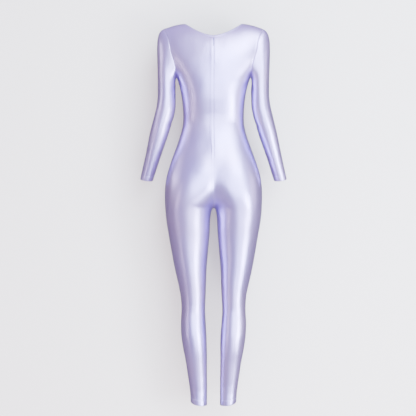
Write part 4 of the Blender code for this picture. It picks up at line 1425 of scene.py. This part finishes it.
def tape_material():
    """Twill tape: diagonal ribs on the tape's own UV map."""
    made, tree, shader = plain_shader("zip_tape_twill", TAPE_LILAC, 0.7)
    uv = add_node(tree, "ShaderNodeUVMap", uv_map="cloth")
    split = add_node(tree, "ShaderNodeSeparateXYZ")
    tree.links.new(uv.outputs["UV"], split.inputs[0])
    diagonal = maths(tree, "ADD", split.outputs["X"], split.outputs["Y"])
    ribs = maths(tree, "SINE", maths(tree, "MULTIPLY", diagonal, 2 * math.pi / TWILL))
    ribs = maths(tree, "MULTIPLY_ADD", ribs, 0.5)
    ribs.node.inputs[2].default_value = 0.5
    tree.links.new(blended(tree, ribs, TAPE_SHADE, TAPE_LILAC), shader.inputs["Base Color"])
    bump = add_node(tree, "ShaderNodeBump", {"Strength": 0.7, "Distance": 0.00012})
    tree.links.new(ribs, bump.inputs["Height"])
    tree.links.new(bump.outputs["Normal"], shader.inputs["Normal"])
    shader.inputs["Sheen Weight"].default_value = 0.2
    return made


def coil_material():
    """Nylon wire of the zip's coil: smooth, a little cloudy."""
    made, tree, shader = plain_shader("zip_coil_nylon", COIL_LILAC, 0.32)
    place_node = add_node(tree, "ShaderNodeTexCoord")
    tone = group_node(tree, TONE, Broad_scale=60.0, Fine_scale=600.0)
    tone.inputs["Colour"].default_value = COIL_LILAC
    tone.inputs["Other colour"].default_value = srgb(198, 188, 228)
    tree.links.new(place_node.outputs["Object"], tone.inputs["Vector"])
    tree.links.new(tone.outputs["Colour"], shader.inputs["Base Color"])
    shader.inputs["Coat Weight"].default_value = 0.3
    return made


THREAD, TAPE, COIL = thread_material(), tape_material(), coil_material()
print(THREAD.name, TAPE.name, COIL.name)

# %% [markdown]
# The lacquer's rubbed edges need to know where an edge is. Comparing the true normal with the one
# that the Bevel node rounds off gives that: they differ only near edges. Here the pieces are so
# small that a noise in Object coordinates does as well, and it exports cleanly.

# %% Lacquered zip
LACQUER = srgb(128, 114, 178)
LACQUER_RUBBED = srgb(168, 158, 208)


def lacquer_material():
    made, tree, shader = plain_shader("lacquered_zip", LACQUER, 0.3, 0.3)
    place_node = add_node(tree, "ShaderNodeTexCoord")
    tone = group_node(tree, TONE, Broad_scale=260.0, Fine_scale=2200.0)
    tone.inputs["Colour"].default_value = LACQUER
    tone.inputs["Other colour"].default_value = LACQUER_RUBBED
    tree.links.new(place_node.outputs["Object"], tone.inputs["Vector"])
    worn = maths(tree, "POWER", tone.outputs["Mask"], 3.0)
    tree.links.new(blended(tree, worn, LACQUER, LACQUER_RUBBED), shader.inputs["Base Color"])
    rough = maths(tree, "MULTIPLY_ADD", tone.outputs["Mask"], 0.18)
    rough.node.inputs[2].default_value = 0.24
    tree.links.new(rough, shader.inputs["Roughness"])
    shader.inputs["Coat Weight"].default_value = 0.4
    shader.inputs["Coat Roughness"].default_value = 0.15
    return made


LACQUERED = lacquer_material()
print(LACQUERED.name)

# %% [markdown]
# ## Dressing the pieces
# Each new piece now gets its finish and its body, and the CAD node that it stands for is hidden.
# A stretch suit is cut about a tenth smaller than it is worn, each way.


def dress(obj, finish, slot, body="suit", node=None):
    obj.data.materials.clear()
    obj.data.materials.append(finish)
    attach(obj, body)
    if node:
        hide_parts(node)


for (side, face), made in panels.items():
    node = made["object"].name.replace("_cloth", "")
    dress(made["object"], SPANDEX, "spandex", node=node)
for side, made in sleeves.items():
    dress(made["object"], SPANDEX, "spandex", node=made["object"].name.replace("_cloth", ""))
dress(binding, SPANDEX, "spandex", node="neck_binding")
for tape in tapes.values():
    dress(tape, TAPE, "tape", node=tape.name.replace("_woven", ""))
for node in ("zip_slider", "zip_pull"):
    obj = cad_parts[node]
    for slot in obj.material_slots:
        slot.material = LACQUERED

# %% [markdown]
# ## Sewing it
# Now the tree sews. The hems and the binding have two rows, as a twin-needle machine leaves, and
# the coil's loops lie close together across the tapes.

# %% Stitches and coil
PIECES_IN_THREAD = {}
for side, side_name in ((RIGHT, "right"), (LEFT, "left")):
    hem = [leg_line(side, above) for above in HEM_STITCH_ROWS]
    PIECES_IN_THREAD[side, "leg"] = sewn_object(
        f"hem_stitches_{side_name}", hem, THREAD, Pitch=0.0029, Length=0.0024, Width=0.0005, Height=0.0004
    )
    cuff = [cuff_line(side, above) for above in HEM_STITCH_ROWS]
    PIECES_IN_THREAD[side, "cuff"] = sewn_object(
        f"cuff_stitches_{side_name}", cuff, THREAD, Pitch=0.0029, Length=0.0024, Width=0.0005, Height=0.0004
    )
neck_rows = [neck_line(down) for down in BINDING_STITCHES]
PIECES_IN_THREAD["neck"] = sewn_object(
    "neck_stitches", neck_rows, THREAD, Pitch=0.0027, Length=0.0022, Width=0.0005, Height=0.0004
)
coils = sewn_object(
    "zip_coil",
    [coil_line(side) for side in (RIGHT, LEFT)],
    COIL,
    raise_by=0.0,
    Pitch=0.0011,
    Length=0.0006,
    Width=0.0024,
    Height=0.0012,
    Unevenness=0.0,
)
for obj in PIECES_IN_THREAD.values():
    dress(obj, THREAD, "spandex")
dress(coils, COIL, "tape")

# %% [markdown]
# ## The stage
# The picture's ground is an even pale grey, with a soft shadow close round the suit, so a pale wall
# stands just behind it. From behind, the wall lets the camera through. The suit hangs at a wearer's
# height, and the pale floor lies just under the view.

# %% Floor and wall
WALL_BEHIND = 0.116
WALL_HALF_WIDTH = 2.6
FLOOR_HEIGHT = -1.75
WALL_TOP = 1.2
GROUND = srgb(234, 222, 214)
GROUND_GLOW = 0.2


def ground_material():
    made, tree, shader = plain_shader("pale_ground", GROUND, 0.9)
    shader.inputs["Specular IOR Level"].default_value = 0.0
    shader.inputs["Emission Color"].default_value = (1, 1, 1, 1)
    shader.inputs["Emission Strength"].default_value = GROUND_GLOW
    clear = add_node(tree, "ShaderNodeBsdfTransparent")
    side = add_node(tree, "ShaderNodeNewGeometry")
    mix = add_node(tree, "ShaderNodeMixShader")
    tree.links.new(side.outputs["Backfacing"], mix.inputs["Fac"])
    tree.links.new(shader.outputs["BSDF"], mix.inputs[1])
    tree.links.new(clear.outputs["BSDF"], mix.inputs[2])
    tree.links.new(mix.outputs["Shader"], tree.nodes["Material Output"].inputs["Surface"])
    return made


def stage_plane(name, corners, finish):
    mesh = bpy.data.meshes.new(name)
    mesh.from_pydata(corners, [], [tuple(range(len(corners)))])
    mesh.materials.append(finish)
    obj = bpy.data.objects.new(name, mesh)
    bpy.context.scene.collection.objects.link(obj)
    return obj


PALE = ground_material()
W = WALL_HALF_WIDTH
wall = stage_plane(
    "wall",
    [(-W, WALL_BEHIND, FLOOR_HEIGHT), (W, WALL_BEHIND, FLOOR_HEIGHT), (W, WALL_BEHIND, WALL_TOP), (-W, WALL_BEHIND, WALL_TOP)],
    PALE,
)
floor = stage_plane(
    "floor", [(-W, -5, FLOOR_HEIGHT), (W, -5, FLOOR_HEIGHT), (W, 3, FLOOR_HEIGHT), (-W, 3, FLOOR_HEIGHT)], PALE
)
for ground in (wall, floor):
    ground.visible_glossy = False
print("wall faces", [round(v, 1) for v in wall.data.polygons[0].normal])

# %% [markdown]
# ## Light
# One tall soft box stands to the right of the camera and draws the long streaks down the cloth. A
# weaker, wider one fills in from the left. The rest comes from a pale surround that darkens to the
# sides, as it does between black cards, which gives satin its dark edges.

# %% Lights and surround
AIM_HEIGHT = -0.65
BOXES = (
    # name, turn, distance, height, width and height of the box, radiance, colour, seen in the satin
    ("upper_key", 12, 3.2, -0.15, (3.0, 2.2), 8.0, (0.68, 0.86, 1.03), True),
    ("top_key", 27, 3.2, 2.2, (2.9, 2.1), 18.0, (0.68, 0.86, 1.03), True),
    ("shoulder_key", 52, 1.9, 2.3, (1.1, 1.1), 10.0, (0.72, 0.86, 1.03), True),
    ("right_key", 40, 3.2, 0.45, (0.9, 1.8), 6.5, (0.68, 0.86, 1.03), True),
    ("lower_key", 49, 3.2, -1.3, (1.1, 1.5), 39.0, (0.72, 0.86, 1.03), True),
    ("low_key", 20, 1.7, -1.5, (1.3, 0.35), 9.0, (0.72, 0.86, 1.03), True),
    ("right_rim", 80, 3.0, -0.1, (0.7, 1.9), 4.0, (0.9, 0.9, 1.0), True),
    ("left_rim", -84, 3.0, 0.5, (0.9, 0.9), 6.0, (0.9, 0.9, 1.0), True),
    ("left_fill", -60, 3.4, -1.0, (0.3, 1.5), 9.0, (1.0, 0.9, 1.0), True),
    ("left_wash", -42, 3.2, -0.6, (2.2, 2.6), 3.0, (1.0, 0.97, 0.93), False),
)
SKY_UPPER = (0.72, 0.6, 1.25, 1)
SKY_LOWER = (0.52, 0.43, 0.7, 1)
SKY_SIDE = (0.36, 0.29, 0.33, 1)
SKY_BEHIND = (0.3, 0.25, 0.34, 1)
SKY_TOP = (1.1, 0.95, 1.6, 1)
SKY_FLOOR = (1.0, 0.85, 1.4, 1)
HORIZON = (-0.12, 0.14)


def soft_box(name, turn, distance, height, size, radiance, colour, in_satin):
    """An area light round the suit, at an angle from straight behind it."""
    light = bpy.data.lights.new(name, "AREA")
    light.shape = "RECTANGLE"
    light.size, light.size_y = size
    light.energy = radiance * math.pi * size[0] * size[1]
    light.color = colour
    obj = bpy.data.objects.new(name, light)
    bpy.context.scene.collection.objects.link(obj)
    obj.visible_glossy = in_satin
    turn = math.radians(turn)
    obj.location = (math.sin(turn) * distance, -math.cos(turn) * distance, height)
    aim = Vector((0, 0, (AIM_HEIGHT + height) / 2)) - obj.location
    obj.rotation_euler = aim.to_track_quat("-Z", "Y").to_euler()
    return obj


def surround():
    """A pale surround, lightest behind the camera and dark at the sides and beyond the suit."""
    world = bpy.data.worlds.new("surround")
    bpy.context.scene.world = world
    world.use_nodes = True
    tree = world.node_tree
    where = add_node(tree, "ShaderNodeTexCoord")
    split = add_node(tree, "ShaderNodeSeparateXYZ")
    tree.links.new(where.outputs["Generated"], split.inputs[0])
    rise = add_node(tree, "ShaderNodeMapRange", interpolation_type="SMOOTHSTEP")
    rise.inputs["From Min"].default_value, rise.inputs["From Max"].default_value = HORIZON
    tree.links.new(split.outputs["Z"], rise.inputs["Value"])
    ahead = maths(tree, "MAXIMUM", maths(tree, "MULTIPLY", split.outputs["Y"], -1.0), 0.0)
    beyond = maths(tree, "MAXIMUM", split.outputs["Y"], 0.0)
    above = maths(tree, "POWER", maths(tree, "MAXIMUM", split.outputs["Z"], 0.0), 2.0)
    colour = blended(tree, rise.outputs["Result"], SKY_LOWER, SKY_UPPER)
    colour = blended(tree, maths(tree, "POWER", ahead, 2.0), SKY_SIDE, colour)
    colour = blended(tree, beyond, colour, SKY_BEHIND)
    colour = blended(tree, above, colour, SKY_TOP)
    below = maths(tree, "MAXIMUM", maths(tree, "MULTIPLY", split.outputs["Z"], -1.0), 0.0)
    colour = blended(tree, maths(tree, "POWER", below, 2.0), colour, SKY_FLOOR)
    tree.links.new(colour, tree.nodes["Background"].inputs["Color"])


for box in BOXES:
    soft_box(*box)
surround()
